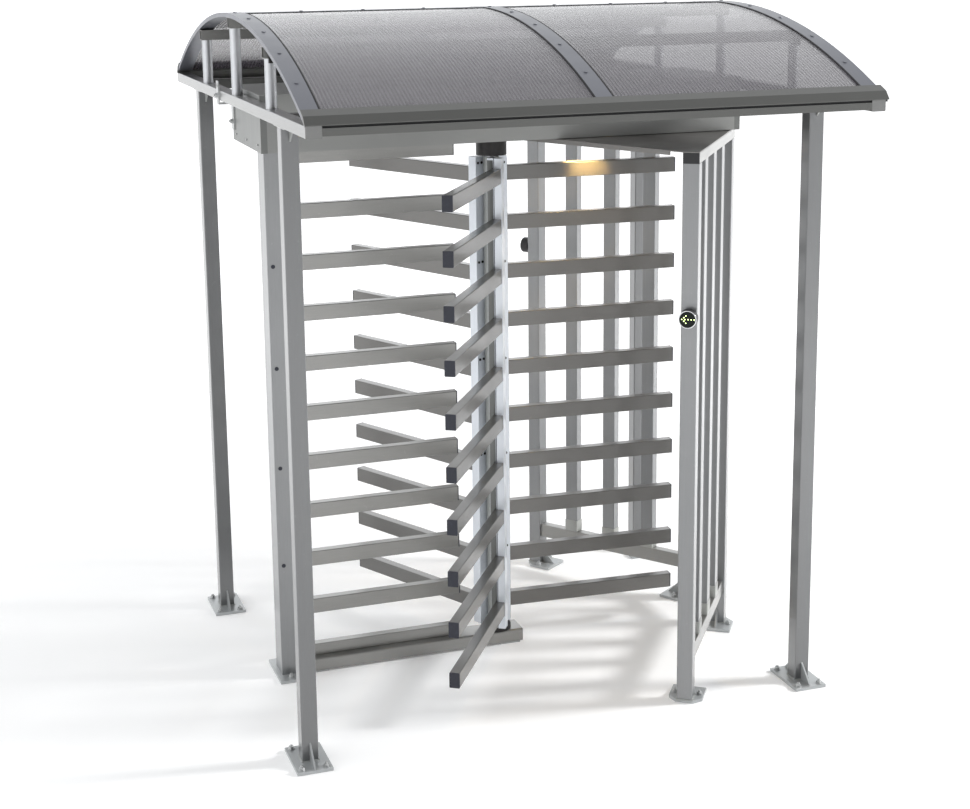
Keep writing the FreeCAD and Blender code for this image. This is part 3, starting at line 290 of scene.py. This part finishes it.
level_grain = (0.03, 0.03, 1)
upright_grain = (1, 1, 0.03)
brushed_tube("level_tube", (0.345, 0.342, 0.328), level_grain)
brushed_tube("wing_tube", (0.178, 0.173, 0.164), level_grain)
brushed_tube("upright_tube", (0.302, 0.308, 0.314), upright_grain)
brushed_tube("canopy_tube", (0.215, 0.219, 0.222), upright_grain)
brushed_tube("tie_tube", (0.220, 0.221, 0.216), level_grain)
powder_coat("satin_grey", (0.335, 0.345, 0.335))
powder_coat("light_grey", (0.36, 0.365, 0.35))
powder_coat("bright_grey", (0.74, 0.78, 0.84), 0.30, 0.30)
powder_coat("housing_grey", (0.245, 0.248, 0.240))
powder_coat("end_grey", (0.150, 0.155, 0.150), 0.35, 0.34)
powder_coat("rib_grey", (0.150, 0.155, 0.178), 0.40, 0.36)
# The gutters' grey is partly their own dark grey and partly painted shade: it is made darker to stand for
# the shade on their front faces.
powder_coat("gutter_grey", (0.105, 0.106, 0.101), 0.40, 0.34)
powder_coat("foot_grey", (0.430, 0.445, 0.450), 0.45, 0.34)
powder_coat("ceiling_grey", (0.215, 0.208, 0.198), 0.35, 0.36)
print("coats:", ", ".join(finishes))

# %% [markdown]
# The plugs in the tube ends are moulded plastic. It has a fine spark-eroded grain, and
# catches scuffs that are a little lighter than the rest.

# %% Moulded plastic
def moulded_plastic(name, colour, roughness=0.45):
    f = Finish(name)
    grain = f.noise(0.0009, 2.0)
    scuff = f.noise(0.02, 6.0, (1, 3, 1)).over(0.62) * f.noise(0.004, 2.0)
    f.set(Base_Color=f.blend(scuff * 0.4, colour, shade(colour, 2.4)))
    f.set(Roughness=roughness + grain * 0.12)
    f.bump(grain, 0.18, 0.0004)
    finishes[name] = f.material
    return f.material


moulded_plastic("black_plastic", (0.022, 0.022, 0.024))
moulded_plastic("dark_blue_plastic", (0.016, 0.018, 0.030), 0.40)
moulded_plastic("rubber_seal", (0.012, 0.012, 0.013), 0.65)
print("plastics ready")

# %% [markdown]
# Fixings are zinc plated. The plating shows as small spangled patches of slightly
# different grey, each with its own gloss, so a cell pattern drives colour and roughness.
# Machined parts show fine upright cutting lines and a little tarnish.

# %% Zinc plate and machined steel
def zinc_plate(name, colour):
    f = Finish(name)
    patch = f.cells(0.006)
    stain = f.noise(0.03, 5.0)
    f.set(Base_Color=f.blend(patch * 0.6 + stain * 0.3, shade(colour, 0.78), shade(colour, 1.1)))
    f.set(Metallic=0.9, Roughness=0.28 + patch * 0.2)
    f.bump(stain, 0.08, 0.0005)
    finishes[name] = f.material
    return f.material


def machined(name, colour, roughness=0.25):
    f = Finish(name)
    cut = f.noise(0.0007, 2.0, (1, 1, 0.04))
    tarnish = f.noise(0.04, 4.0)
    f.set(Base_Color=f.blend(tarnish, shade(colour, 0.85), colour))
    f.set(Metallic=1.0, Roughness=roughness + cut * 0.18)
    f.bump(cut, 0.12, 0.0003)
    finishes[name] = f.material
    return f.material


zinc_plate("zinc", (0.56, 0.57, 0.57))
machined("machined_steel", (0.55, 0.56, 0.58))
machined("brass", (0.72, 0.53, 0.22))
machined("aluminium", (0.70, 0.71, 0.72), 0.32)
machined("bright_ring", (0.72, 0.73, 0.74), 0.16)
machined("bright_tube", (0.56, 0.57, 0.59), 0.36)
print("plated metals ready")

# %% [markdown]
# The bearing shells and the bolts in the column are blackened steel: dark, a little
# oily, with a hint of brown where the oxide is thin.

# %% Blackened steel
def blackened(name):
    f = Finish(name)
    thin = f.noise(0.015, 5.0)
    f.set(Base_Color=f.blend(thin, (0.012, 0.012, 0.014), (0.045, 0.042, 0.040)))
    f.set(Metallic=0.6, Roughness=0.30 + thin * 0.2)
    f.bump(f.noise(0.0012, 2.0), 0.1, 0.0004)
    finishes[name] = f.material
    return f.material


blackened("black_metal")
print("blackened steel ready")

# %% [markdown]
# The roof is twin-wall polycarbonate in a smoky tint. Its inner webs run down the curve
# every thirteen millimetres and show as fine darker lines. They are drawn here by a sine of
# the distance along the building, which bends with the sheet because it doesn't depend
# on height. Long lighter bands along the building are painted reflections of the lamps.
# The sheet lets some light through, so its alpha is below one.

# %% Smoked twin-wall sheet
web_pitch = 0.0130
sheet_index = 1.52


def twin_wall(name, colour):
    f = Finish(name)
    ripple = f.axis("X").wave(web_pitch)
    web = (ripple * 0.5 + 0.5).power(4.0)
    cloud = f.noise(0.45, 3.0, (1, 0.5, 1))
    # Painted reflections: long lighter bands running along the building.
    painted_reflection_streak = f.noise(0.10, 3.0, (0.12, 1, 1))
    tint = f.blend(cloud, shade(colour, 0.80), shade(colour, 1.25))
    lined = f.blend(web * 0.80, tint, shade(colour, 0.35))
    f.set(Base_Color=f.blend(painted_reflection_streak * 0.5, lined, shade(colour, 1.8)))
    f.set(Roughness=0.22 + cloud * 0.16)
    f.set(Alpha=0.62 + web * 0.24)
    f.shader.inputs["IOR"].default_value = sheet_index
    f.set(Coat_Weight=0.9)
    f.shader.inputs["Coat Roughness"].default_value = 0.16
    f.bump(ripple * 0.5 + 0.5, 0.9, 0.0028)
    finishes[name] = f.material
    return f.material


twin_wall("smoked_sheet", (0.092, 0.082, 0.098))
print("roof sheet ready")

# %% [markdown]
# Two things give light: the warm frosted lens of each downlight, and the dots of the
# direction arrows. The arrow's disc behind the dots is dark tinted plastic.

# %% Lit lenses
def lit(name, colour, brightness, glow=(1.0, 1.0, 1.0)):
    f = Finish(name)
    frost = f.noise(0.003, 3.0)
    f.set(Base_Color=f.blend(frost, colour, shade(colour, 0.8)), Roughness=0.35)
    f.set(Emission_Color=f.blend(frost * 0.5, glow, shade(glow, 0.75)))
    f.shader.inputs["Emission Strength"].default_value = brightness
    finishes[name] = f.material
    return f.material


def tinted_disc(name):
    f = Finish(name)
    weave = f.cells(0.0045)
    f.set(Base_Color=f.blend(weave, (0.003, 0.005, 0.004), (0.008, 0.012, 0.009)))
    f.set(Roughness=0.30 + weave * 0.1)
    f.shader.inputs["Specular IOR Level"].default_value = 0.2
    f.bump(weave, 0.15, 0.0004)
    finishes[name] = f.material
    return f.material


lit("warm_lens", (1.0, 0.85, 0.55), 9.0, (1.0, 0.72, 0.33))
lit("arrow_dot", (0.9, 1.0, 0.55), 7.0, (0.80, 1.0, 0.38))
tinted_disc("arrow_lens")
print("lenses ready")

# %% [markdown]
# The controller board is a green laminate with copper tracks under its lacquer. It sits
# inside the housing, but it gets a real finish too: thin straight tracks from a brick
# pattern, slightly raised.

# %% Circuit board
tracks_per_metre = 90.0


def circuit_board(name):
    f = Finish(name)
    spread = (tracks_per_metre,) * 3
    scaled = f.add("ShaderNodeMapping", {}, {"Vector": f.where(), "Scale": spread})
    track = f.add("ShaderNodeTexBrick", {}, {"Vector": scaled, "Mortar Size": 0.06}, "Fac")
    f.set(Base_Color=f.blend(track, (0.012, 0.10, 0.035), (0.05, 0.26, 0.10)))
    f.set(Roughness=0.25 + track * 0.1, Coat_Weight=0.4)
    f.bump(track, 0.2, 0.0003)
    finishes[name] = f.material
    return f.material


circuit_board("board_green")
print(len(finishes), "finishes in all")

# %% [markdown]
# Each loaded node is painted through its own material slots. The record says which kind
# of finish every node wears. The larger steel parts then get a finish of their own, so
# that the brush lines run along each tube and every group has its own shade.

# %% Paint the loaded nodes
def wear(piece, finish_name):
    slots = piece.material_slots
    if not slots:
        piece.data.materials.append(finishes[finish_name])
    for place in slots:
        place.material = finishes[finish_name]


slot_of = {part["node"]: part["material_slot"] for part in record["subparts"]}
for node_name, piece in nodes.items():
    wear(piece, slot_of[node_name])
nodes_wearing = {
    "level_tube": ("comb_bars", "bottom_beam", "purlins", "fence_top_rails", "fence_bottom_rails"),
    "upright_tube": ("comb_post", "fence_posts", "fence_bars"),
    "wing_tube": ("wing_bars_1", "wing_bars_2", "wing_bars_3"),
    "canopy_tube": ("canopy_posts",),
    "tie_tube": ("gable_ties",),
    "bright_tube": ("gable_struts",),
    "housing_grey": ("housing_tray", "housing_lid"),
    "end_grey": ("housing_ends",),
    "rib_grey": ("arch_ribs", "roof_screws", "ridge_strips"),
    # Gutters and side rails wear a grey that is darkened partly as painted shade.
    "gutter_grey": ("eave_gutters", "side_rails"),
    "ceiling_grey": ("ceiling_panel",),
    "foot_grey": ("canopy_feet", "fence_feet", "comb_feet"),
}
for finish_name, node_names in nodes_wearing.items():
    for node_name in node_names:
        wear(nodes[node_name], finish_name)
print("painted", len(nodes), "nodes")

# %% [markdown]
# The floor is one very large plane under everything. Far from the object it glows, the
# way a studio's white sweep does, so that it runs into the background without a horizon
# line. Near the object it glows much less, so that shadows stay soft and grey.

# %% Floor
floor_size = 300.0
floor_drop = 0.0005
sweep_start = 1.8
sweep_end = 8.0


def floor_finish():
    f = Finish("studio_floor")
    mark = f.noise(1.5, 3.0)
    f.set(Base_Color=f.blend(mark, (0.90, 0.90, 0.90), (0.94, 0.94, 0.94)), Roughness=0.75)
    f.shader.inputs["Specular IOR Level"].default_value = 0.1
    away = f.add("ShaderNodeVectorMath", {"operation": "LENGTH"}, {0: f.where()}, "Value")
    reach = {"Value": away, "From Min": sweep_start, "From Max": sweep_end, "To Min": 0.20, "To Max": 1.0}
    sweep = f.add("ShaderNodeMapRange", {"interpolation_type": "SMOOTHSTEP"}, reach)
    f.set(Emission_Color=f.blend(sweep, (0.0, 0.0, 0.0), (1.0, 1.0, 1.0)))
    f.shader.inputs["Emission Strength"].default_value = 0.6
    return f.material


bpy.ops.object.select_all(action="DESELECT")
bpy.ops.mesh.primitive_plane_add(size=floor_size, location=(0, 0, -floor_drop))
floor = bpy.context.object
floor.name = "studio_floor"
floor.data.materials.append(floor_finish())
print("floor laid")

# %% [markdown]
# New parts are modelled with the same tools as by hand: add a primitive where it goes,
# shape it, apply its modifiers, and leave the finished object at the origin with its
# place in its mesh. These few helpers do the steps that repeat.

# %% Modelling helpers
def nothing_selected():
    bpy.ops.object.select_all(action="DESELECT")


def only(piece):
    nothing_selected()
    piece.select_set(True)
    bpy.context.view_layer.objects.active = piece


def settle(piece):
    """Move the object's place into its mesh."""
    only(piece)
    bpy.ops.object.transform_apply(location=True, rotation=True, scale=True)
    return piece


def drum(name, radius, height, at=(0, 0, 0), sides=32, turn=(0, 0, 0)):
    nothing_selected()
    bpy.ops.mesh.primitive_cylinder_add(vertices=sides, radius=radius, depth=height,
                                        location=at, rotation=turn)
    piece = bpy.context.object
    piece.name = name
    return settle(piece)


def slab(name, size, at=(0, 0, 0), turn=(0, 0, 0)):
    nothing_selected()
    bpy.ops.mesh.primitive_cube_add(size=1.0, location=at, rotation=turn, scale=size)
    piece = bpy.context.object
    piece.name = name
    return settle(piece)


def soften(piece, width, segments=2):
    only(piece)
    edge = piece.modifiers.new("edge", "BEVEL")
    edge.width = width
    edge.segments = segments
    edge.limit_method = "ANGLE"
    bpy.ops.object.modifier_apply(modifier=edge.name)
    return piece


def face_step(piece, facing, inset, push):
    """Inset the flat face that looks one way, and push it out or in."""
    only(piece)
    bpy.ops.object.mode_set(mode="EDIT")
    bpy.ops.mesh.select_mode(type="FACE")
    bpy.ops.mesh.select_all(action="DESELECT")
    bpy.ops.object.mode_set(mode="OBJECT")
    for face in piece.data.polygons:
        face.select = face.normal.dot(Vector(facing)) > 0.99
    bpy.ops.object.mode_set(mode="EDIT")
    bpy.ops.mesh.inset(thickness=inset)
    bpy.ops.mesh.extrude_region_move(TRANSFORM_OT_translate={"value": Vector(facing) * push})
    bpy.ops.object.mode_set(mode="OBJECT")
    return piece


def copy_to(piece, matrix):
    twin = piece.copy()
    twin.data = piece.data.copy()
    twin.name = "copy"
    bpy.context.collection.objects.link(twin)
    twin.data.transform(matrix)
    if matrix.determinant() < 0:
        twin.data.flip_normals()
    return twin


def copies(piece, matrices):
    """A copy at every matrix. The piece itself was only a pattern and goes."""
    made = [copy_to(piece, matrix) for matrix in matrices]
    bpy.data.objects.remove(piece)
    return made


def with_mirrored(matrices):
    """Each matrix, followed by the same one on the other side of the passage."""
    return [place for matrix in matrices for place in (matrix, mirror_y @ matrix)]


def joined(name, pieces):
    nothing_selected()
    for piece in pieces:
        piece.select_set(True)
    bpy.context.view_layer.objects.active = pieces[0]
    if len(pieces) > 1:
        bpy.ops.object.join()
    whole = bpy.context.view_layer.objects.active
    whole.name = name
    return whole


def done(piece, finish_name, body, angle=0.6):
    """Smooth, paint and ride."""
    only(piece)
    bpy.ops.object.shade_smooth_by_angle(angle=angle)
    piece.data.materials.clear()
    piece.data.materials.append(finishes[finish_name])
    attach(piece, body)
    return piece


def place_along(normal, at):
    """A matrix that stands a +Z piece on a surface with this outward normal."""
    return Matrix.Translation(at) @ Vector(normal).to_track_quat("Z", "Y").to_matrix().to_4x4()


mirror_y = Matrix.Scale(-1.0, 4, (0, 1, 0))
print("tools ready")

# %% [markdown]
# Floor anchors are studs with a nut over a wide washer. One is modelled: a six-sided
# nut with chamfered corners, a washer under it and the end of the stud above.

# %% Model one anchor
washer_high = 0.0025


def anchor(stud_radius):
    washer = drum("washer", stud_radius * 2.1, washer_high, (0, 0, washer_high / 2), 28)
    nut_middle = washer_high + stud_radius * 0.75
    nut = drum("nut", stud_radius * 1.75, stud_radius * 1.5, (0, 0, nut_middle), 6)
    stud_middle = washer_high + stud_radius * 1.9
    stud = drum("stud", stud_radius * 0.92, stud_radius, (0, 0, stud_middle), 16)
    return joined("anchor", [soften(washer, 0.0005), soften(nut, 0.0010), soften(stud, 0.0012)])


anchor_12 = anchor(0.006)
print("anchor height", round(max(v.co.z for v in anchor_12.data.vertices), 4))

# %% [markdown]
# The anchors go where the record's bolt patterns say the holes are. The fence's feet
# have two holes each, set either side of the post, so those places are worked out from
# the panels' direction. Each nut is turned a little further than the one before.

# %% Anchors on every foot
plate_top = 0.012
near_post = Vector((0.493, -0.795, 0.0))
far_post = Vector((0.955, -0.155, 0.0))
panel_way = (far_post - near_post).normalized()
panel_side = Vector((panel_way.y, -panel_way.x, 0.0))
panel_turn = Matrix.Rotation(math.atan2(panel_way.y, panel_way.x), 4, "Z")
hole_inward = 0.035
hole_side = 0.048
nut_turn = 0.7


def pattern_places():
    places = []
    for mount in record["mounts"]:
        if mount["kind"] != "bolt_pattern":
            continue
        across = mount["dims"].get("spacing_x_mm", 0.0) / 2000
        along = mount["dims"].get("spacing_y_mm", 0.0) / 2000
        for sx in sorted({-across, across}):
            for sy in (-along, along):
                places.append(Vector((mount["pos_m"][0] + sx, mount["pos_m"][1] + sy, plate_top)))
    return places


def fence_places():
    places = []
    for post, sign in ((near_post, 1), (far_post, -1)):
        for side in (-hole_side, hole_side):
            spot = post + panel_way * sign * hole_inward + panel_side * side
            places.append(Vector((spot.x, spot.y, plate_top)))
            places.append(Vector((spot.x, -spot.y, plate_top)))
    return places


anchor_places = []
for count, place in enumerate(pattern_places() + fence_places()):
    anchor_places.append(Matrix.Translation(place) @ Matrix.Rotation(nut_turn * count, 4, "Z"))
anchors = copies(anchor_12, anchor_places)
done(joined("floor_anchors", anchors), "zinc", "frame")
print("anchors:", len(anchors))

# %% [markdown]
# Posts are welded to their feet. A weld is a small rippled bead in the corner, so four
# round rods are laid round each post and a fine bump gives them their ripples.

# %% Weld beads round the posts
def weld_finish():
    f = Finish("weld")
    ripple = f.noise(0.004, 3.0)
    f.set(Base_Color=f.blend(ripple, (0.30, 0.31, 0.30), (0.40, 0.41, 0.40)), Metallic=0.35)
    f.set(Roughness=0.40 + ripple * 0.12)
    f.bump(ripple, 0.8, 0.002)
    finishes["weld"] = f.material


post_half = 0.030
bead_radius = 0.0035
canopy_post_x = 0.99
canopy_post_y = 0.78


def bead_ring(half, z):
    along_x, along_y = (0, math.pi / 2, 0), (math.pi / 2, 0, 0)
    rods = []
    for side in (-1, 1):
        rods.append(drum("bead", bead_radius, 2 * half, (0, side * half, z), 10, along_x))
        rods.append(drum("bead", bead_radius, 2 * half, (side * half, 0, z), 10, along_y))
    return joined("bead_ring", rods)


weld_finish()
bead_places = [Matrix.Translation((sx * canopy_post_x, sy * canopy_post_y, 0))
               for sx in (-1, 1) for sy in (-1, 1)]
bead_places += with_mirrored(Matrix.Translation(post) @ panel_turn for post in (near_post, far_post))
beads = copies(bead_ring(post_half, plate_top), bead_places)
done(joined("post_welds", beads), "weld", "frame")
print("beads:", len(beads))

# %% [markdown]
# Short sleeves hold the feet of the fence's upright bars to the lower rail. Each is a
# little wider than its bar and has rounded edges.

# %% Sleeves at the feet of the fence bars
sleeve_size = (0.064, 0.044, 0.052)
sleeve_middle = 0.226
sleeve = soften(slab("sleeve", sleeve_size, (0, 0, sleeve_middle)), 0.002)
bar_feet = [near_post.lerp(far_post, share) for share in (0.25, 0.5, 0.75)]
sleeves = copies(sleeve, with_mirrored(Matrix.Translation(spot) @ panel_turn for spot in bar_feet))
done(joined("bar_sleeves", sleeves), "light_grey", "frame")
print("sleeves:", len(sleeves))

# %% [markdown]
# The column's uprights carry button-head bolts on their narrow faces, one at every
# second bar. Two dark strips paint shade: a black strip deep in the groove beside the
# bars stands for the shade in that gap, and a thin dark strip on the recessed part of
# their outer face stands for the shade there. All of them ride on the rotor, and the
# wings' angles come from the parked angle.

# %% Column bolts and strips of painted shade
parked = math.radians(-3.4)
wing_turns = [Matrix.Rotation(parked + 2 * math.pi * k / 3, 4, "Z") for k in range(3)]
bar_count = 10
bar_pitch = 0.2
top_bolt_z = 2.015
column_middle = 1.062
# The black strip in the groove is painted shade of the gap between the upright's members.
groove_shade_size, groove_shade_at = (0.004, 0.0045, 1.93), (0.0535, 0.0265, column_middle)
# The thin dark strip on the recessed face is painted shade of that face.
face_shade_size, face_shade_at = (0.0012, 0.0235, 1.940), (0.0646, 0.0105, column_middle)


def button_head(radius, height):
    head = drum("button", radius, height, (0, 0, height / 2), 20)
    head = soften(head, height * 0.45, 3)
    return face_step(head, (0, 0, 1), radius * 0.25, -height * 0.4)


bolt_places = []
for turn in wing_turns:
    for row in range(0, bar_count, 2):
        side_spot = Matrix.Translation((0.050, -0.002, top_bolt_z - bar_pitch * row))
        bolt_places.append(turn @ side_spot @ Matrix.Rotation(math.pi / 2, 4, "X"))
column_bolts = copies(button_head(0.0055, 0.0032), bolt_places)
done(joined("column_bolts", column_bolts), "black_metal", "rotor")

# Black strip in the groove: painted shade of the gap.
strips = copies(soften(slab("strip", groove_shade_size, groove_shade_at), 0.0008), wing_turns)
done(joined("groove_strips", strips), "rubber_seal", "rotor")

# Thin dark strip on the recessed face: painted shade.
covers = copies(soften(slab("cover", face_shade_size, face_shade_at), 0.0004), wing_turns)
done(joined("column_covers", covers), "end_grey", "rotor")
print("column bolts:", len(column_bolts))

# %% [markdown]
# Each direction indicator is a black puck with a bright rim and a dotted arrow that
# points to the way in. The rim is a small profile spun round the puck's axis. The dots
# are tiny raised discs with rounded edges.

# %% Direction indicators
puck_offset = 0.066
puck_height = 1.515
rim_radius, rim_thick, rim_rise, rim_steps = 0.0318, 0.0036, 0.0016, 56
dot_radius, dot_high, dot_sunk = 0.0017, 0.0012, 0.001
arrow_step = 0.0062
arrow_grid = [(-3.4, 0), (-2.2, 1.1), (-2.2, -1.1), (-1, 2.2), (-1, -2.2),
              (-1.6, 0), (0.4, 0), (2.2, 0), (4, 0)]
face_out = -panel_way
puck = near_post + face_out * puck_offset + Vector((0, 0, puck_height))


def spun_ring(name, radius, thick, rise):
    nothing_selected()
    bpy.ops.mesh.primitive_plane_add(size=1.0, location=(radius, 0, rise / 2),
                                     rotation=(math.pi / 2, 0, 0))
    piece = bpy.context.object
    piece.name = name
    piece.scale = (thick, rise, 1)
    settle(piece)
    bpy.ops.object.mode_set(mode="EDIT")
    bpy.ops.mesh.select_all(action="SELECT")
    bpy.ops.mesh.spin(steps=rim_steps, angle=2 * math.pi, center=(0, 0, 0), axis=(0, 0, 1))
    bpy.ops.mesh.select_all(action="SELECT")
    bpy.ops.mesh.remove_doubles(threshold=0.00001)
    bpy.ops.mesh.select_all(action="DESELECT")
    bpy.ops.mesh.select_interior_faces()
    bpy.ops.mesh.delete(type="FACE")
    bpy.ops.mesh.select_all(action="SELECT")
    bpy.ops.mesh.normals_make_consistent(inside=False)
    bpy.ops.object.mode_set(mode="OBJECT")
    return soften(piece, thick * 0.3)


rim = spun_ring("rim", rim_radius, rim_thick, rim_rise)
rims = copies(rim, with_mirrored([place_along(face_out, puck)]))
done(joined("indicator_rims", rims), "bright_ring", "frame")

dot = soften(drum("dot", dot_radius, dot_high, (0, 0, 0.0002), 12), 0.0004)
dot_places = []
for column, row in arrow_grid:
    across = panel_side * column * arrow_step + Vector((0, 0, row * arrow_step))
    dot_places.append(place_along(face_out, puck - face_out * dot_sunk + across))
dots = copies(dot, with_mirrored(dot_places))
done(joined("arrow_dots", dots), "arrow_dot", "frame")
print("dots:", len(dots))

# %% [markdown]
# Black rubber seals run down the roof beside the ribs and keep water out. Each is a
# small rectangle spun through the roof's arc about the cylinder's own axis.

# %% Roof seals
roof_radius = 2.650
roof_axis_z = 2.625 - roof_radius
roof_half_y = 1.180
rib_recess = 0.003
seal_wide, seal_high = 0.006, 0.0028
seal_lines = [-0.970, -0.036, 0.030, 0.964]
arc_steps = 64


def arc_strip(name, x0, x1, r0, r1, half_y):
    reach = math.asin(half_y / roof_radius)
    middle = (r0 + r1) / 2
    nothing_selected()
    bpy.ops.mesh.primitive_plane_add(size=1.0, location=((x0 + x1) / 2, 0, roof_axis_z + middle),
                                     rotation=(math.pi / 2, 0, 0))
    piece = bpy.context.object
    piece.name = name
    piece.scale = (x1 - x0, r1 - r0, 1)
    settle(piece)
    piece.data.transform(Matrix.Translation((0, 0, roof_axis_z)) @ Matrix.Rotation(reach, 4, "X")
                         @ Matrix.Translation((0, 0, -roof_axis_z)))
    bpy.ops.object.mode_set(mode="EDIT")
    bpy.ops.mesh.select_all(action="SELECT")
    bpy.ops.mesh.spin(steps=arc_steps, angle=2 * reach, center=(0, 0, roof_axis_z), axis=(1, 0, 0))
    bpy.ops.mesh.select_all(action="SELECT")
    bpy.ops.mesh.remove_doubles(threshold=0.00001)
    bpy.ops.mesh.normals_make_consistent(inside=False)
    bpy.ops.object.mode_set(mode="OBJECT")
    return piece


skin = roof_radius - rib_recess
seals = [arc_strip("seal", x, x + seal_wide, skin, skin + seal_high, roof_half_y - 0.01)
         for x in seal_lines]
seal_lows = min(v.co.z for seal in seals for v in seal.data.vertices)
done(joined("roof_seals", seals), "rubber_seal", "frame")
print("seals reach down to", round(seal_lows, 3))

# %% [markdown]
# The ridge strip is sealed too, with one straight seal along each edge. The eaves have a
# dark brush strip in their groove, which keeps insects out of the gutter.

# %% Ridge seals and eave brushes
ridge_seal_y = 0.034
ridge_seal_high = 0.0026
ridge_seal_z = roof_axis_z + math.sqrt(skin ** 2 - ridge_seal_y ** 2) + 0.0012
ridge_seals = []
for x0, x1 in ((-0.964, -0.036), (0.036, 0.964)):
    for side in (-1, 1):
        middle = ((x0 + x1) / 2, side * ridge_seal_y, ridge_seal_z)
        seal = slab("seal", (x1 - x0, seal_wide, ridge_seal_high), middle)
        ridge_seals.append(soften(seal, 0.0006))
done(joined("ridge_seals", ridge_seals), "rubber_seal", "frame")

brush_size = (2.070, 0.0030, 0.0072)
brush_x = 0.005
groove_y = roof_half_y + 0.0197
groove_z = roof_axis_z + math.sqrt(roof_radius ** 2 - roof_half_y ** 2) - 0.029
brushes = []
for side in (-1, 1):
    brush = slab("brush", brush_size, (brush_x, side * groove_y, groove_z))
    brushes.append(soften(brush, 0.0006))
done(joined("eave_brushes", brushes), "rubber_seal", "frame")
print("groove at", round(groove_z, 4))

# %% [markdown]
# Screws hold the ribs down. The loaded ones are plain discs, so each gets a small
# six-sided head on top, inside its disc.

# %% Heads on the roof screws
screw_lines = (-1.0, 0.0, 1.0)
screw_pitch = 0.25
hex_radius, hex_high, hex_lift = 0.0042, 0.0026, 0.0002
hex_head = soften(drum("hex", hex_radius, hex_high, (0, 0, hex_high / 2), 6), 0.0005)
head_places = []
for x in screw_lines:
    for place in range(-4, 5):
        angle = place * screw_pitch / roof_radius
        outward = Vector((0, math.sin(angle), math.cos(angle)))
        spot = Vector((x, 0, roof_axis_z)) + outward * (roof_radius + hex_lift)
        head_places.append(place_along(outward, spot))
heads = copies(hex_head, head_places)
# The screw heads share the gutters' grey, which is partly painted shade.
done(joined("roof_screw_heads", heads), "gutter_grey", "frame")
print("heads:", len(heads))

# %% [markdown]
# A bolt at each end of the tie strap holds it to the housing and to the gable beam. They
# are modelled as the floor anchors are, a size smaller, and lie on their sides, pointing
# out to the left.

# %% Strap bolts
strap_spots = [Vector((-0.979, 0.238, 2.20)), Vector((-1.035, 0.238, 2.303))]
strap_bolts = copies(anchor(0.005), [place_along((-1, 0, 0), spot) for spot in strap_spots])
done(joined("strap_bolts", strap_bolts), "zinc", "frame")
print("strap bolts:", len(strap_bolts))

# %% [markdown]
# A thin pressed cover closes each downlight's cut-out from above, in the gap under the
# housing. It is a shallow dish: a disc whose upper face is inset and pushed down.

# %% Covers behind the downlights
lamp_x, lamp_y = 0.405, 0.20
dish_radius, dish_high, dish_z = 0.040, 0.0022, 2.1264
lamp_covers = []
for side in (-1, 1):
    dish = soften(drum("dish", dish_radius, dish_high, (lamp_x, side * lamp_y, dish_z), 48), 0.0005)
    lamp_covers.append(face_step(dish, (0, 0, 1), 0.006, -0.0008))
done(joined("lamp_covers", lamp_covers), "end_grey", "frame")
print("lamp covers:", len(lamp_covers))

# %% [markdown]
# Each downlight throws a warm pool on the wing's upper bars. A narrow warm spot just
# under its lens does that, a weaker and wider one warms the bars below, and the lens
# itself glows.

# %% Warm pools of light
warm = (1.0, 0.64, 0.22)
bulb_radius = 0.02
under_lens = 2.104


def downlight(side, aim, power, cone):
    data = bpy.data.lights.new("downlight", "SPOT")
    data.energy = power
    data.color = warm
    data.spot_size = math.radians(cone)
    data.spot_blend = 1.0
    data.shadow_soft_size = bulb_radius
    hang(data, (lamp_x, side * lamp_y, under_lens), aim)


for side in (-1, 1):
    downlight(side, (0.412, side * -0.02, 1.955), power=50.0, cone=50)
    downlight(side, (0.460, side * 0.02, 1.20), power=7.0, cone=120)
print("downlights lit")
